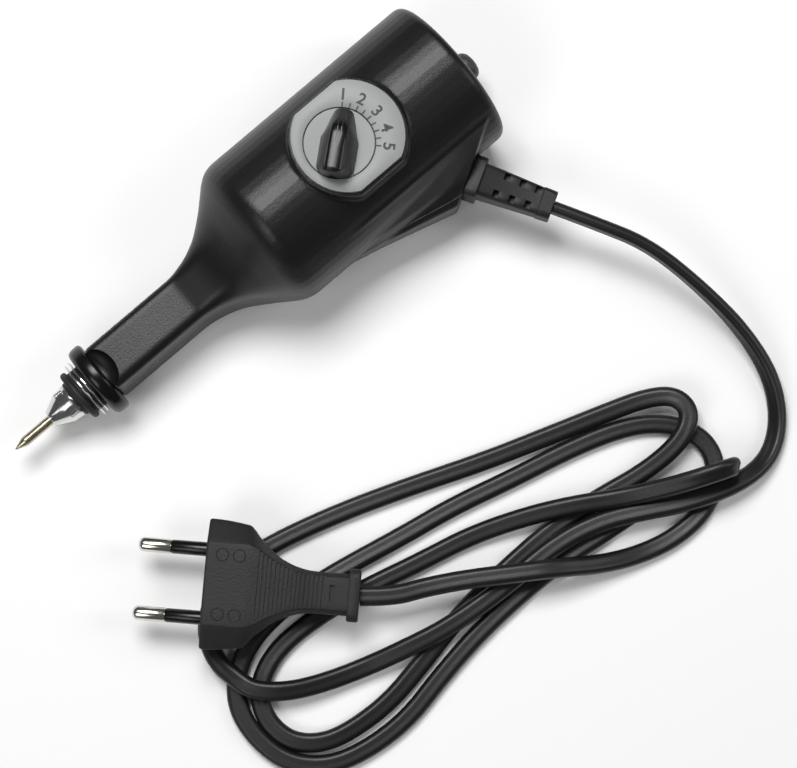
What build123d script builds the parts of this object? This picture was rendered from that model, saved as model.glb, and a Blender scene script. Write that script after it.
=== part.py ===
"""Mains powered engraving pen, made as an assembly of separate pieces, in millimetres.

Row frame: the pen lies on its flat underside on z = 0. +X runs from the tip to the rear, +Z is up,
and the origin is on the table under the centre of the stroke dial. The cord leaves on the -Y side.
"""
from build123d import *
import os
from math import cos, sin, radians, tan, pi

os.makedirs("parts", exist_ok=True)

# ---------------------------------------------------------------- driving dimensions
WALL = 2.0                  # casing wall
NOSE_Z = 11.0               # height of the tip, shaft and barrel axis
BODY_Z = 21.9               # height of the fat body's axis
BODY_R = 22.6               # fat body radius
REAR_X = 37.0               # rear face of the body
BARREL_FRONT_X = -89.4      # front face of the finger barrel
BARREL_W = 14.2
BARREL_H = 20.4
TIP_X = -121.3              # point of the engraving tip
TIP_R = 1.3
SHAFT_R = 3.0
RUN = 0.04                  # radial running clearance
DIAL_X = -3.0               # axis of the stroke knob
PLATE_TOP = 46.6            # top face of the dial plate

nodes = []


def keep(name, part):
    """Label one finished piece and write its STEP file."""
    part.label = name
    export_step(part, f"parts/{name}.step")
    nodes.append((name, part.volume))


def along_x(x, z=NOSE_Z, y=0.0):
    """Sketch plane facing +X: local x runs along +Y and local y along +Z."""
    return Plane(origin=(x, y, z), x_dir=(0, 1, 0), z_dir=(1, 0, 0))


def rod(name, x0, x1, radius, bore=0.0, z=NOSE_Z, y=0.0, chamfer_end=0.0):
    """Round bar or tube along X between two stations."""
    with BuildPart() as piece:
        with BuildSketch(along_x(x0, z, y)):
            Circle(radius)
            if bore:
                Circle(bore, mode=Mode.SUBTRACT)
        extrude(amount=x1 - x0)
        if chamfer_end:
            rims = piece.edges().filter_by(GeomType.CIRCLE).sort_by(SortBy.RADIUS)[-2:]
            chamfer(rims, chamfer_end)
    keep(name, piece.part)
    return piece.part


# ---------------------------------------------------------------- casing shells
# Stations of the outer skin: x, width, height, corner radius, bottom z.
SKIN = [
    (BARREL_FRONT_X, BARREL_W, BARREL_H, 2.4, 0.8),
    (-60.0, BARREL_W, BARREL_H, 2.4, 0.8),
    (-49.0, 20.0, 25.0, 5.4, 0.5),
    (-42.0, 29.6, 32.0, 10.4, 0.0),
    (-35.5, 41.4, 41.8, 19.2, -0.5),
    (-31.0, 45.2, 45.2, 22.5, -0.7),
]
SHOULDER_X = SKIN[-1][0]
PARTING_BARREL_Z = NOSE_Z
PARTING_BODY_Z = BODY_Z
WING_TOP_Z = 34.0
WING_PLAN = [(-20.0, -18.0), (-20.0, -21.8), (-8.0, -24.2), (13.4, -29.4), (31.6, -19.4), (31.6, -12.0)]
ENTRY = Vector(21.7, -24.9, 17.0)        # where the cord axis leaves the wing's rear face
ENTRY_DIR = Vector(0.482, -0.876, 0.0)


def skin_loft(inset, front_x, shoulder_shift):
    """Barrel, flare and shoulder through the stations, made smaller all round by the inset."""
    with BuildPart() as piece:
        for x, width, height, corner, low in SKIN:
            station = front_x if x == BARREL_FRONT_X else x + shoulder_shift
            with BuildSketch(along_x(station, low + height / 2)):
                RectangleRounded(width - 2 * inset, height - 2 * inset, max(corner - inset, 0.5))
        loft(ruled=True)
    return piece.part


def body_drum(radius, x0, x1, rear_round):
    """Fat rear drum with a rounded rear rim."""
    with BuildPart() as piece:
        with BuildSketch(along_x(x0, BODY_Z)):
            RectangleRounded(2 * radius, 2 * radius, radius - 0.1)
        extrude(amount=x1 - x0)
        fillet(piece.faces().sort_by(Axis.X)[-1].edges(), rear_round)
    return piece.part


def wing_prism(inset):
    """Cable wing on the -Y side: a wedge with sloping upper and lower facets."""
    with BuildPart() as piece:
        with BuildSketch(Plane.XY.offset(3.0 + inset)):
            with BuildLine():
                Polyline(*WING_PLAN, close=True)
            make_face()
            if inset:
                offset(amount=-inset, kind=Kind.INTERSECTION, mode=Mode.REPLACE)
        extrude(amount=WING_TOP_Z - 3.0 - inset)
        top = Plane(origin=(0, -19.0, WING_TOP_Z - inset * 1.3), z_dir=(0, -0.60, 0.80))
        split(bisect_by=top, keep=Keep.BOTTOM)
        under = Plane(origin=(-20.0, -22.0, 17.0 + inset * 1.3), z_dir=(-0.298, -0.477, -0.827))
        split(bisect_by=under, keep=Keep.BOTTOM)
    return piece.part


FLOOR_CUT = Pos(0, 0, -50) * Box(400, 400, 100)
outer_skin = skin_loft(0.0, BARREL_FRONT_X, 0.0) + body_drum(BODY_R, SHOULDER_X, REAR_X, 2.4)
outer_skin = (outer_skin + wing_prism(0.0)) - FLOOR_CUT
INNER_CUT = Pos(0, 0, -50 + WALL) * Box(400, 400, 100)
inner_skin = skin_loft(WALL, BARREL_FRONT_X - 1.0, 1.0) + body_drum(BODY_R - WALL, SHOULDER_X + 1.0, REAR_X - WALL, 1.0)
inner_skin = (inner_skin + wing_prism(WALL)) - INNER_CUT

# Dial boss on the crown of the body: a round pad with two flats parallel to the axis.
PLATE_R = 15.0
PLATE_FLAT = 13.3
with BuildPart() as dial_boss:
    with BuildSketch(Plane.XY.offset(BODY_Z + 10.0)):
        Circle(PLATE_R + 1.0)
        Rectangle(60, 2 * (PLATE_FLAT + 1.0), mode=Mode.INTERSECT)
    extrude(amount=PLATE_TOP - 1.4 - BODY_Z - 10.0)
with BuildPart() as boss_hollow:
    with BuildSketch(Plane.XY.offset(BODY_Z)):
        Circle(PLATE_R - 1.5)
        Rectangle(60, 2 * (PLATE_FLAT - 1.5), mode=Mode.INTERSECT)
    extrude(amount=PLATE_TOP - 1.4 - WALL - BODY_Z)
shell = (outer_skin + dial_boss.part) - inner_skin - boss_hollow.part

# Openings of the shell: cam shaft, push button, cord entry and the open nose.
CAM_R = 2.5
BUTTON_R = 4.2
BUTTON_Z = 12.0
shell = shell - Pos(DIAL_X, 0, PLATE_TOP) * Cylinder(CAM_R + RUN, 30)
shell = shell - Pos(REAR_X, 0, BUTTON_Z) * Rot(0, 90, 0) * Cylinder(BUTTON_R + 0.15, 12)
entry_plane = Plane(origin=ENTRY, x_dir=(0.876, 0.482, 0), z_dir=ENTRY_DIR)
COLLAR_WIDTH = 12.0
shell = shell - (entry_plane * Cylinder(4.0, 12))
shell = shell - (entry_plane * Pos(0, 0, 2.5) * Box(COLLAR_WIDTH, COLLAR_WIDTH, 5.0))

# Ribs and posts grow from the lower half.
RIB_X = (-34.0, -28.0)
POSTS = [(-13.0, -17.4), (-13.0, 17.4)]
POST_TOP = 15.0
SCREWS = [(-26.0, -13.0), (-26.0, 13.0), (26.0, -13.0), (26.0, 13.0)]
BUSH_R = 5.0


def parting_block(upper):
    """Half space above or below the stepped parting surface."""
    far = 80.0 if upper else -80.0
    with BuildPart() as piece:
        with BuildSketch(Plane.XZ.offset(-80)):
            with BuildLine():
                Polyline((-120, PARTING_BARREL_Z), (-60, PARTING_BARREL_Z), (-38, PARTING_BODY_Z),
                         (80, PARTING_BODY_Z), (80, far), (-120, far), close=True)
            make_face()
        extrude(amount=160)
    return piece.part


rib_box = Pos((RIB_X[0] + RIB_X[1]) / 2, 0, 8.5) * Box(RIB_X[1] - RIB_X[0], 24.0, 17.0)
rib = rib_box & inner_skin
posts = Part()
for px, py in POSTS:
    posts += Pos(px, py, POST_TOP / 2) * Cylinder(2.6, POST_TOP)
posts = posts & inner_skin
screw_posts = Part()
for px, py in SCREWS:
    screw_posts += Pos(px, py, 20.0) * Cylinder(3.0, 40.0)
screw_posts = screw_posts & inner_skin

lower = (shell & parting_block(False)) + rib + posts
lower = lower + (screw_posts & parting_block(False))
lower = lower - Pos(-31, 0, NOSE_Z) * Rot(0, 90, 0) * Cylinder(BUSH_R, 20)
upper = (shell & parting_block(True)) + (screw_posts & parting_block(True))
for px, py in SCREWS:
    lower = lower - Pos(px, py, 10.0) * Cylinder(1.25, 30.0)
    lower = lower - Pos(px, py, 3.0) * Cylinder(2.4, 6.0)
    upper = upper - Pos(px, py, 25.0) * Cylinder(1.25, 16.0)
for px, py in POSTS:
    lower = lower - Pos(px, py, POST_TOP) * Cylinder(1.0, 10.0)
keep("upper_casing", upper.solids().sort_by(SortBy.VOLUME)[-1])
keep("lower_casing", lower.solids().sort_by(SortBy.VOLUME)[-1])

# ---------------------------------------------------------------- nose: collar, washers, seal, bush
COLLAR_X = (-94.0, BARREL_FRONT_X)
COLLAR_R = 10.9
SLEEVE_R = 4.0
with BuildPart() as nose_collar:
    with BuildSketch(Plane.XZ.offset(0)):
        with Locations((0, NOSE_Z)):
            with BuildLine():
                low, high = COLLAR_X
                spigot = high + 4.6
                Polyline((low, SLEEVE_R + NOSE_Z), (low, NOSE_Z + 8.6), (low + 1.2, NOSE_Z + COLLAR_R),
                         (high - 1.0, NOSE_Z + COLLAR_R), (high, NOSE_Z + 9.6), (high, NOSE_Z + 5.0),
                         (spigot, NOSE_Z + 5.0), (spigot, SLEEVE_R + NOSE_Z), close=True)
            make_face()
    revolve(axis=Axis((0, 0, NOSE_Z), (1, 0, 0)))
    fillet(nose_collar.edges().filter_by(GeomType.CIRCLE).group_by(SortBy.RADIUS)[-1], 0.8)
keep("nose_collar", nose_collar.part)

rod("nose_sleeve", -99.6, -80.0, SLEEVE_R, SHAFT_R + RUN)
rod("nose_seal", -99.3, -97.4, 7.6, SLEEVE_R, chamfer_end=0.5)
with BuildPart() as nose_washers:
    for x in (-96.5, -95.2):
        with BuildSketch(along_x(x)):
            Circle(8.7)
            Circle(SLEEVE_R, mode=Mode.SUBTRACT)
        extrude(amount=0.5)
keep("nose_washers", nose_washers.part)
with BuildPart() as damping_rings:
    for x, thick in ((-97.4, 0.9), (-96.0, 0.8), (-94.7, 0.7)):
        with BuildSketch(along_x(x)):
            Circle(6.6)
            Circle(SLEEVE_R, mode=Mode.SUBTRACT)
        extrude(amount=thick)
keep("damping_rings", damping_rings.part)

# ---------------------------------------------------------------- plunger: everything that strikes
CHUCK_X = (-108.6, -100.5)
with BuildPart() as tip_chuck:
    with BuildSketch(Plane.XZ):
        with BuildLine():
            Polyline((CHUCK_X[0], NOSE_Z + TIP_R), (CHUCK_X[0], NOSE_Z + 2.4), (-103.8, NOSE_Z + 4.9),
                     (CHUCK_X[1], NOSE_Z + 5.2), (CHUCK_X[1], NOSE_Z + TIP_R), close=True)
        make_face()
    revolve(axis=Axis((0, 0, NOSE_Z), (1, 0, 0)))
    for turn in range(4):
        with Locations(Location((-101.9, 0, NOSE_Z), (90 * turn + 45, 0, 0)) * Location((0, 0, 5.6))):
            Box(3.2, 1.6, 2.0, mode=Mode.SUBTRACT)
keep("tip_chuck", tip_chuck.part)

with BuildPart() as engraving_tip:
    with BuildSketch(Plane.XZ):
        with BuildLine():
            Polyline((TIP_X, NOSE_Z), (TIP_X + 0.4, NOSE_Z + 0.22), (TIP_X + 3.7, NOSE_Z + TIP_R),
                     (-92.0, NOSE_Z + TIP_R), (-92.0, NOSE_Z), close=True)
        make_face()
    revolve(axis=Axis((0, 0, NOSE_Z), (1, 0, 0)))
keep("engraving_tip", engraving_tip.part)

with BuildPart() as drive_shaft:
    with BuildSketch(along_x(CHUCK_X[1])):
        Circle(SHAFT_R)
    extrude(amount=14.0 - CHUCK_X[1])
    with BuildSketch(along_x(14.0)):
        Circle(2.0)
    extrude(amount=7.0)
    with BuildSketch(along_x(CHUCK_X[1])):
        Circle(TIP_R)
    extrude(amount=-92.0 - CHUCK_X[1], mode=Mode.SUBTRACT)
keep("drive_shaft", drive_shaft.part)

with BuildPart() as armature_plate:
    with BuildSketch(along_x(14.0, 19.0)):
        RectangleRounded(26.0, 24.0, 3.0)
        with Locations((0, NOSE_Z - 19.0)):
            Circle(2.0, mode=Mode.SUBTRACT)
    extrude(amount=3.0)
keep("armature_plate", armature_plate.part)

with BuildPart() as armature_nut:
    with BuildSketch(along_x(17.0)):
        RegularPolygon(3.9, 6)
        Circle(2.0, mode=Mode.SUBTRACT)
    extrude(amount=2.8)
    chamfer(armature_nut.faces().sort_by(Axis.X)[-1].outer_wire().edges(), 0.3)
keep("armature_nut", armature_nut.part)

with BuildPart() as stroke_arm:
    with BuildSketch(Plane.XZ.offset(-3.0)):
        with BuildLine():
            Polyline((17.0, 24.0), (18.2, 24.0), (18.2, 38.7), (2.6, 38.7), (2.6, 37.5), (17.0, 37.5), close=True)
        make_face()
    extrude(amount=6.0)
keep("stroke_arm", stroke_arm.part)

with BuildPart() as spring_seat:
    with BuildSketch(along_x(-10.0)):
        Circle(5.0)
        Circle(SHAFT_R, mode=Mode.SUBTRACT)
    extrude(amount=1.2)
keep("spring_seat", spring_seat.part)

# ---------------------------------------------------------------- bush, return spring, electromagnet
rod("shaft_bush", RIB_X[0] - 0.5, RIB_X[1] + 0.5, BUSH_R, SHAFT_R + RUN)

SPRING_TURNS = 7
SPRING_X = (-26.8, -10.8)
SPRING_WIRE = 0.45
spring_length = SPRING_X[1] - SPRING_X[0]


def coil_spring(name, x0, length, turns, coil_r, wire_r, z, y=0.0):
    """Round wire compression spring along X."""
    with BuildPart() as piece:
        with BuildLine() as line:
            Helix(length / turns, length, coil_r)
        with BuildSketch(Plane(origin=line.line @ 0, z_dir=line.line % 0)):
            Circle(wire_r)
        sweep(is_frenet=True)
    keep(name, Plane(origin=(x0, y, z), z_dir=(1, 0, 0)).location * piece.part)


coil_spring("return_spring", SPRING_X[0], spring_length, SPRING_TURNS, 4.0, SPRING_WIRE, NOSE_Z)

COIL_Z = 25.6
LEG = 7.6
POLE_X = 12.6
YOKE_X = (-22.0, -16.5)
with BuildPart() as magnet_core:
    with Locations(((YOKE_X[0] + YOKE_X[1]) / 2, 0, COIL_Z)):
        Box(YOKE_X[1] - YOKE_X[0], 30.0, LEG)
    leg_length = POLE_X - YOKE_X[1]
    for y, width in ((0.0, LEG), (-13.1, 3.8), (13.1, 3.8)):
        with Locations((YOKE_X[1] + leg_length / 2, y, COIL_Z)):
            Box(leg_length, width, LEG)
keep("magnet_core", magnet_core.part)

BOBBIN_X = (-16.2, 11.8)
with BuildPart() as coil_bobbin:
    with BuildSketch(along_x(BOBBIN_X[0], COIL_Z)):
        Rectangle(LEG + 1.8, LEG + 1.8)
        Rectangle(LEG + 0.1, LEG + 0.1, mode=Mode.SUBTRACT)
    extrude(amount=BOBBIN_X[1] - BOBBIN_X[0])
    for x in (BOBBIN_X[0], BOBBIN_X[1] - 1.2):
        with BuildSketch(along_x(x, COIL_Z)):
            RectangleRounded(21.6, 19.6, 2.5)
            Rectangle(LEG + 0.1, LEG + 0.1, mode=Mode.SUBTRACT)
        extrude(amount=1.2)
keep("coil_bobbin", coil_bobbin.part)

with BuildPart() as coil_winding:
    with BuildSketch(along_x(BOBBIN_X[0] + 1.2, COIL_Z)):
        RectangleRounded(19.6, 17.8, 4.5)
        Rectangle(LEG + 1.8, LEG + 1.8, mode=Mode.SUBTRACT)
    extrude(amount=BOBBIN_X[1] - BOBBIN_X[0] - 2.4)
    fillet(coil_winding.faces().sort_by(Axis.X)[-1].outer_wire().edges(), 0.5)
keep("coil_winding", coil_winding.part)

BRACKET_X = -13.0
with BuildPart() as core_brackets:
    for side in (-1, 1):
        with BuildSketch(Plane.YZ.offset(BRACKET_X - 3.5)):
            with BuildLine():
                Polyline((side * 15.0, POST_TOP), (side * 19.0, POST_TOP), (side * 19.0, POST_TOP + 1.2),
                         (side * 15.7, POST_TOP + 1.2), (side * 15.7, 28.0), (side * 15.0, 28.0), close=True)
            make_face()
        extrude(amount=7.0)
    for px, py in POSTS:
        with Locations((px, py, POST_TOP)):
            Cylinder(1.0, 6, mode=Mode.SUBTRACT)
keep("core_brackets", core_brackets.part)


def pan_screws(name, places, head_r, shank_r, head_h, shank_len, down):
    """Cross-slot pan screws along Z: places give the underside of each head."""
    sign = 1 if down else -1
    with BuildPart() as piece:
        for x, y, z in places:
            with Locations((x, y, z + sign * head_h / 2)):
                Cylinder(head_r, head_h)
            with Locations((x, y, z - sign * shank_len / 2)):
                Cylinder(shank_r, shank_len)
            slot_z = z + sign * head_h
            with Locations((x, y, slot_z)):
                Box(head_r * 1.2, 0.5, 1.0, mode=Mode.SUBTRACT)
                Box(0.5, head_r * 1.2, 1.0, mode=Mode.SUBTRACT)
    keep(name, piece.part)


pan_screws("bracket_screws", [(px, py, POST_TOP + 1.2) for px, py in POSTS], 1.6, 1.0, 1.2, 5.0, True)
pan_screws("casing_screws", [(px, py, 6.0) for px, py in SCREWS], 2.3, 1.25, 1.6, 22.0, False)

# ---------------------------------------------------------------- stroke dial
DISC_R = 9.4
KNOB_TOP = 55.4
KNOB_REST = 40.0            # degrees from +X that the pointer shows at rest
BOSS_TOP = PLATE_TOP - 1.4
BOSS_UNDER = BOSS_TOP - WALL

with BuildPart() as dial_plate:
    with BuildSketch(Plane.XY.offset(BOSS_TOP)):
        Circle(PLATE_R)
        Rectangle(60, 2 * PLATE_FLAT, mode=Mode.INTERSECT)
        with Locations((DIAL_X, 0)):
            Circle(DISC_R + 0.2, mode=Mode.SUBTRACT)
    extrude(amount=PLATE_TOP - BOSS_TOP)
keep("dial_plate", dial_plate.part)

knob_plane = Plane(origin=(DIAL_X, 0, 0), x_dir=(cos(radians(KNOB_REST)), sin(radians(KNOB_REST)), 0), z_dir=(0, 0, 1))
with BuildPart() as dial_disc:
    with BuildSketch(knob_plane.offset(BOSS_TOP + 0.2)):
        Circle(DISC_R)
    extrude(amount=PLATE_TOP - BOSS_TOP - 0.2)
keep("dial_disc", dial_disc.part)

KNOB_OUTLINE = [(-9.3, -2.6), (-7.2, -5.05), (0.5, -5.05), (8.7, -2.45), (8.7, 2.45), (0.5, 5.05),
                (-7.2, 5.05), (-9.3, 2.6)]
KNOB_CREST = 2.3            # half width of the knob's crest
KNOB_SLOPE_START = 2.6      # where the crest starts to fall towards the pointer


def knob_cut(local_point, local_normal):
    """Plane that trims the knob, given in the knob's own directions."""
    origin = Vector(*local_point).rotate(Axis.Z, KNOB_REST) + Vector(DIAL_X, 0, KNOB_TOP)
    return Plane(origin=origin, z_dir=Vector(*local_normal).rotate(Axis.Z, KNOB_REST))


with BuildPart() as dial_knob:
    with BuildSketch(knob_plane.offset(PLATE_TOP)):
        with BuildLine():
            Polyline(*KNOB_OUTLINE, close=True)
        make_face()
    extrude(amount=KNOB_TOP - PLATE_TOP)
    for side in (-1, 1):
        split(bisect_by=knob_cut((0, side * KNOB_CREST, 0), (0, side * 0.954, 0.298)), keep=Keep.BOTTOM)
    split(bisect_by=knob_cut((KNOB_SLOPE_START, 0, 0), (0.676, 0, 0.737)), keep=Keep.BOTTOM)
keep("dial_knob", dial_knob.part)

CAM_Z = (36.4, 39.8)
CAM_THROW = 0.7
with BuildPart() as stroke_cam:
    with BuildSketch(knob_plane.offset(CAM_Z[1])):
        Circle(CAM_R)
    extrude(amount=BOSS_TOP + 0.2 - CAM_Z[1])
    with BuildSketch(knob_plane.offset(CAM_Z[0])):
        with Locations((CAM_THROW, 0)):
            Circle(3.4)
    extrude(amount=CAM_Z[1] - CAM_Z[0])
keep("stroke_cam", stroke_cam.part)

with BuildPart() as friction_washer:
    with BuildSketch(knob_plane.offset(BOSS_UNDER - 0.5)):
        Circle(5.2)
        Circle(CAM_R + 0.1, mode=Mode.SUBTRACT)
    extrude(amount=0.5)
keep("friction_washer", friction_washer.part)

with BuildPart() as dial_circlip:
    with BuildSketch(knob_plane.offset(BOSS_UNDER - 1.4)):
        Circle(4.4)
        Circle(CAM_R, mode=Mode.SUBTRACT)
        with Locations((-3.5, 0)):
            Rectangle(3.0, 1.6, mode=Mode.SUBTRACT)
    extrude(amount=0.8)
keep("dial_circlip", dial_circlip.part)

# ---------------------------------------------------------------- rear push switch
BUTTON_END_X = 45.0
FLANGE_X = (33.2, 34.8)
HOUSING_X = (22.4, 29.0)
with BuildPart() as power_button:
    for x0, x1, radius in ((30.2, FLANGE_X[0], 1.2), (FLANGE_X[0], FLANGE_X[1], 5.4),
                           (FLANGE_X[1], BUTTON_END_X, BUTTON_R)):
        with BuildSketch(along_x(x0, BUTTON_Z)):
            Circle(radius)
        extrude(amount=x1 - x0)
    fillet(power_button.faces().sort_by(Axis.X)[-1].edges(), 2.4)
keep("power_button", power_button.part)

coil_spring("button_spring", HOUSING_X[1] + 0.35, FLANGE_X[0] - HOUSING_X[1] - 0.7, 3, 2.6, 0.3, BUTTON_Z)

with BuildPart() as switch_housing:
    with Locations(((HOUSING_X[0] + HOUSING_X[1]) / 2, 0, 11.5)):
        Box(HOUSING_X[1] - HOUSING_X[0], 14.0, 15.0)
    with Locations(((HOUSING_X[0] + HOUSING_X[1]) / 2, 0, 3.0)):
        Box(HOUSING_X[1] - HOUSING_X[0], 9.0, 2.0)
    fillet(switch_housing.edges().filter_by(Axis.X).group_by(Axis.Z)[-1], 1.0)
    with BuildSketch(along_x(HOUSING_X[1], BUTTON_Z)):
        Circle(1.6)
    extrude(amount=-2.0, mode=Mode.SUBTRACT)
keep("switch_housing", switch_housing.part)

TERMINAL_X = 19.6
with BuildPart() as switch_terminals:
    for y in (-6.0, 6.0):
        with Locations(((TERMINAL_X + HOUSING_X[0]) / 2, y, 16.6)):
            Box(HOUSING_X[0] - TERMINAL_X, 0.6, 3.0)
keep("switch_terminals", switch_terminals.part)

# ---------------------------------------------------------------- cord entry
RELIEF_LENGTH = 24.5
CORD_R = 2.2


def entry_offset(distance):
    """Sketch plane across the cord entry at a distance along it; local x is level, local y up."""
    return Plane(origin=ENTRY + ENTRY_DIR * distance, x_dir=(0.876, 0.482, 0), z_dir=ENTRY_DIR)


with BuildPart() as strain_relief:
    with BuildSketch(entry_offset(0.0)):
        RectangleRounded(COLLAR_WIDTH - 0.1, COLLAR_WIDTH - 1.0, 2.0)
    extrude(amount=3.6)
    with BuildSketch(entry_offset(3.6)):
        RectangleRounded(9.4, 8.6, 2.0)
    with BuildSketch(entry_offset(RELIEF_LENGTH)):
        RectangleRounded(7.8, 7.0, 2.0)
    loft()
    with BuildSketch(entry_offset(0.0)):
        Circle(4.0)
    extrude(amount=-6.0)
    with BuildSketch(entry_offset(-5.2)):
        RectangleRounded(10.6, 10.6, 2.0)
    extrude(amount=1.8)
    for row in range(3):
        for side in (-1, 1):
            start = 7.6 + 4.6 * row + (1.4 if side > 0 else 0.0)
            with BuildSketch(entry_offset(start)):
                with Locations((side * 4.2, 0)):
                    Rectangle(2.6, 12.0)
            extrude(amount=1.7, mode=Mode.SUBTRACT)
keep("strain_relief", strain_relief.part)

STUB_LENGTH = 4.5
with BuildPart() as cord_stub:
    with BuildSketch(entry_offset(-6.0)):
        Circle(CORD_R)
    extrude(amount=-STUB_LENGTH)
keep("cord_stub", cord_stub.part)

with BuildPart() as cord_clamp:
    with BuildSketch(entry_offset(-10.0)):
        with Locations((0, 1.6)):
            RectangleRounded(8.4, 4.6, 1.0)
        with Locations((0, 0)):
            Circle(CORD_R, mode=Mode.SUBTRACT)
    extrude(amount=3.4)
keep("cord_clamp", cord_clamp.part)


def wire(name, routes, radius):
    """Thin insulated leads, each along straight runs joined by tangent arcs."""
    with BuildPart() as piece:
        for points in routes:
            with BuildLine() as line:
                FilletPolyline(*points, radius=corner_radii(points))
            with BuildSketch(Plane(origin=line.line @ 0, z_dir=line.line % 0)):
                Circle(radius)
            sweep(path=line.line)
    keep(name, piece.part)


def corner_radii(points):
    """As large an arc at each corner as its two runs allow."""
    radii = []
    for before, here, after in zip(points, points[1:], points[2:]):
        run_in = Vector(*here) - Vector(*before)
        run_out = Vector(*after) - Vector(*here)
        half_turn = radians(run_in.get_angle(run_out)) / 2
        radii.append(0.45 * min(run_in.length, run_out.length) / tan(half_turn))
    return radii


stub_end = ENTRY + ENTRY_DIR * (-6.9 - STUB_LENGTH)
wire("supply_leads", [
    [(stub_end.X, stub_end.Y, 18.2), (18.8, -12.4, 22.0), (21.4, -11.2, 26.0), (21.6, -8.0, 24.0), (21.0, -6.9, 18.6)],
    [(stub_end.X, stub_end.Y, 15.8), (12.4, -16.2, 12.6), (4.0, -15.4, 11.6), (-5.0, -12.6, 12.2)],
], 0.6)
wire("coil_leads", [
    [(21.0, 6.9, 18.6), (21.2, 8.2, 24.0), (19.6, 12.6, 33.0), (13.0, 12.8, 36.4), (6.0, 8.0, 35.6)],
], 0.6)

# ---------------------------------------------------------------- mains cord, end to end
LOW = CORD_R + 0.1          # centre height of a strand lying on the table
MID = LOW + 4.6             # a strand lying on one other
HIGH = MID + 4.8            # a strand lying on two others
CORD_ROUTE = [
    (33.5, -46.4, 17.0), (39.8, -57.9, 16.7), (46.8, -71.0, 15.0), (50.6, -88.0, 11.4), (52.4, -105.0, 7.2),
    (50.6, -120.0, 4.0), (44.5, -131.0, LOW), (35.0, -137.4, LOW + 0.6), (23.5, -137.0, MID), (9.0, -131.6, MID + 0.4),
    # first long run back under the nose, over the returning strand
    (-3.0, -124.6, MID + 0.3), (-13.0, -119.4, MID + 0.2), (-26.0, -116.2, MID + 0.1), (-45.0, -116.0, MID),
    (-63.0, -114.2, MID + 0.3), (-77.0, -110.6, 5.4), (-89.0, -107.0, 3.2), (-99.5, -103.0, 4.6), (-108.2, -98.4, MID),
    (-114.6, -92.4, MID + 0.3), (-119.4, -84.6, MID), (-121.6, -76.0, 3.8), (-118.2, -67.6, LOW),
    (-110.2, -62.6, LOW), (-99.0, -61.6, LOW), (-84.0, -65.2, LOW), (-66.0, -70.4, LOW), (-47.0, -77.4, LOW),
    (-26.0, -86.0, LOW), (-6.0, -93.0, LOW), (9.0, -98.2, 3.0), (19.6, -102.2, 4.8), (26.2, -107.0, MID),
    (26.4, -113.6, MID + 0.2), (19.0, -117.8, MID), (6.0, -117.6, 4.0), (-8.0, -114.6, LOW), (-24.0, -112.4, LOW),
    (-44.0, -112.6, LOW), (-61.0, -114.0, LOW), (-76.0, -117.0, LOW), (-89.0, -119.0, LOW), (-102.0, -118.0, LOW),
    (-110.0, -115.4, LOW), (-115.8, -110.0, LOW), (-117.6, -102.8, LOW), (-116.0, -95.8, LOW), (-110.6, -90.6, LOW),
    (-102.0, -87.8, LOW), (-89.0, -88.2, LOW), (-74.0, -91.0, LOW), (-58.0, -95.4, LOW), (-42.0, -99.2, LOW), (-28.0, -104.8, 4.6),
    (-16.0, -111.0, MID + 0.2), (-4.0, -118.6, MID + 1.4), (6.4, -124.4, HIGH + 0.6), (15.8, -128.8, HIGH + 4.4),
    # blunt fold, down and back under itself
    (24.2, -132.2, HIGH + 4.4), (24.6, -132.3, MID + 0.2), (16.4, -129.4, MID + 0.2), (7.0, -126.0, LOW + 1.6),
    (-3.0, -124.0, LOW), (-13.4, -122.8, LOW), (-26.6, -120.8, LOW), (-44.6, -120.2, LOW), (-60.0, -121.0, LOW),
    (-74.0, -123.0, LOW), (-88.0, -125.8, LOW), (-102.0, -124.8, LOW), (-112.8, -121.2, LOW), (-120.4, -113.4, LOW),
    (-122.8, -103.0, LOW), (-121.4, -92.4, LOW), (-114.4, -84.4, LOW), (-103.4, -80.6, LOW), (-89.0, -80.4, LOW),
    (-73.0, -83.2, LOW), (-57.0, -86.8, LOW), (-40.0, -90.0, LOW), (-23.0, -94.8, LOW), (-8.0, -98.4, LOW),
    (5.6, -102.6, LOW), (15.6, -107.6, LOW), (22.4, -114.6, LOW), (25.0, -123.0, LOW), (21.4, -131.0, LOW),
    (12.4, -136.4, LOW), (0.6, -136.8, LOW), (-10.6, -133.6, LOW + 0.6), (-20.6, -128.4, 5.4), (-30.0, -121.6, HIGH),
    (-40.6, -114.6, HIGH + 0.4), (-51.0, -107.6, HIGH + 0.3), (-61.0, -101.8, HIGH + 0.1), (-69.6, -97.8, 11.9),
    (-76.0, -92.0, 12.0),
]

with BuildPart() as power_cord:
    with BuildLine() as cord_line:
        FilletPolyline(*CORD_ROUTE, radius=corner_radii(CORD_ROUTE))
    with BuildSketch(Plane(origin=cord_line.line @ 0, z_dir=cord_line.line % 0)):
        Circle(CORD_R)
    sweep(path=cord_line.line)
keep("power_cord", power_cord.part)
cord_length = sum(edge.length for edge in cord_line.line.edges())
print("cord radii", sorted(round(r, 1) for r in corner_radii(CORD_ROUTE))[:8])
print("cord length", round(cord_length, 1), "volume ratio",
      round(power_cord.part.volume / (pi * CORD_R ** 2 * cord_length), 4))

# ---------------------------------------------------------------- two pin plug
PLUG_FACE = Vector(-105.5, -62.0, 12.0)
PLUG_DIR = Vector(0.701, -0.713, 0.0)
PIN_GAP = 18.6
PIN_LENGTH = 19.0
PIN_R = 2.0
SLEEVE_BORE_R = 1.6
SLEEVE_LENGTH = 10.0


def plug_plane(distance):
    """Sketch plane across the plug: local x is level along the pin row, local y up."""
    return Plane(origin=PLUG_FACE + PLUG_DIR * distance, x_dir=(0.713, 0.701, 0), z_dir=PLUG_DIR)


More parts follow.
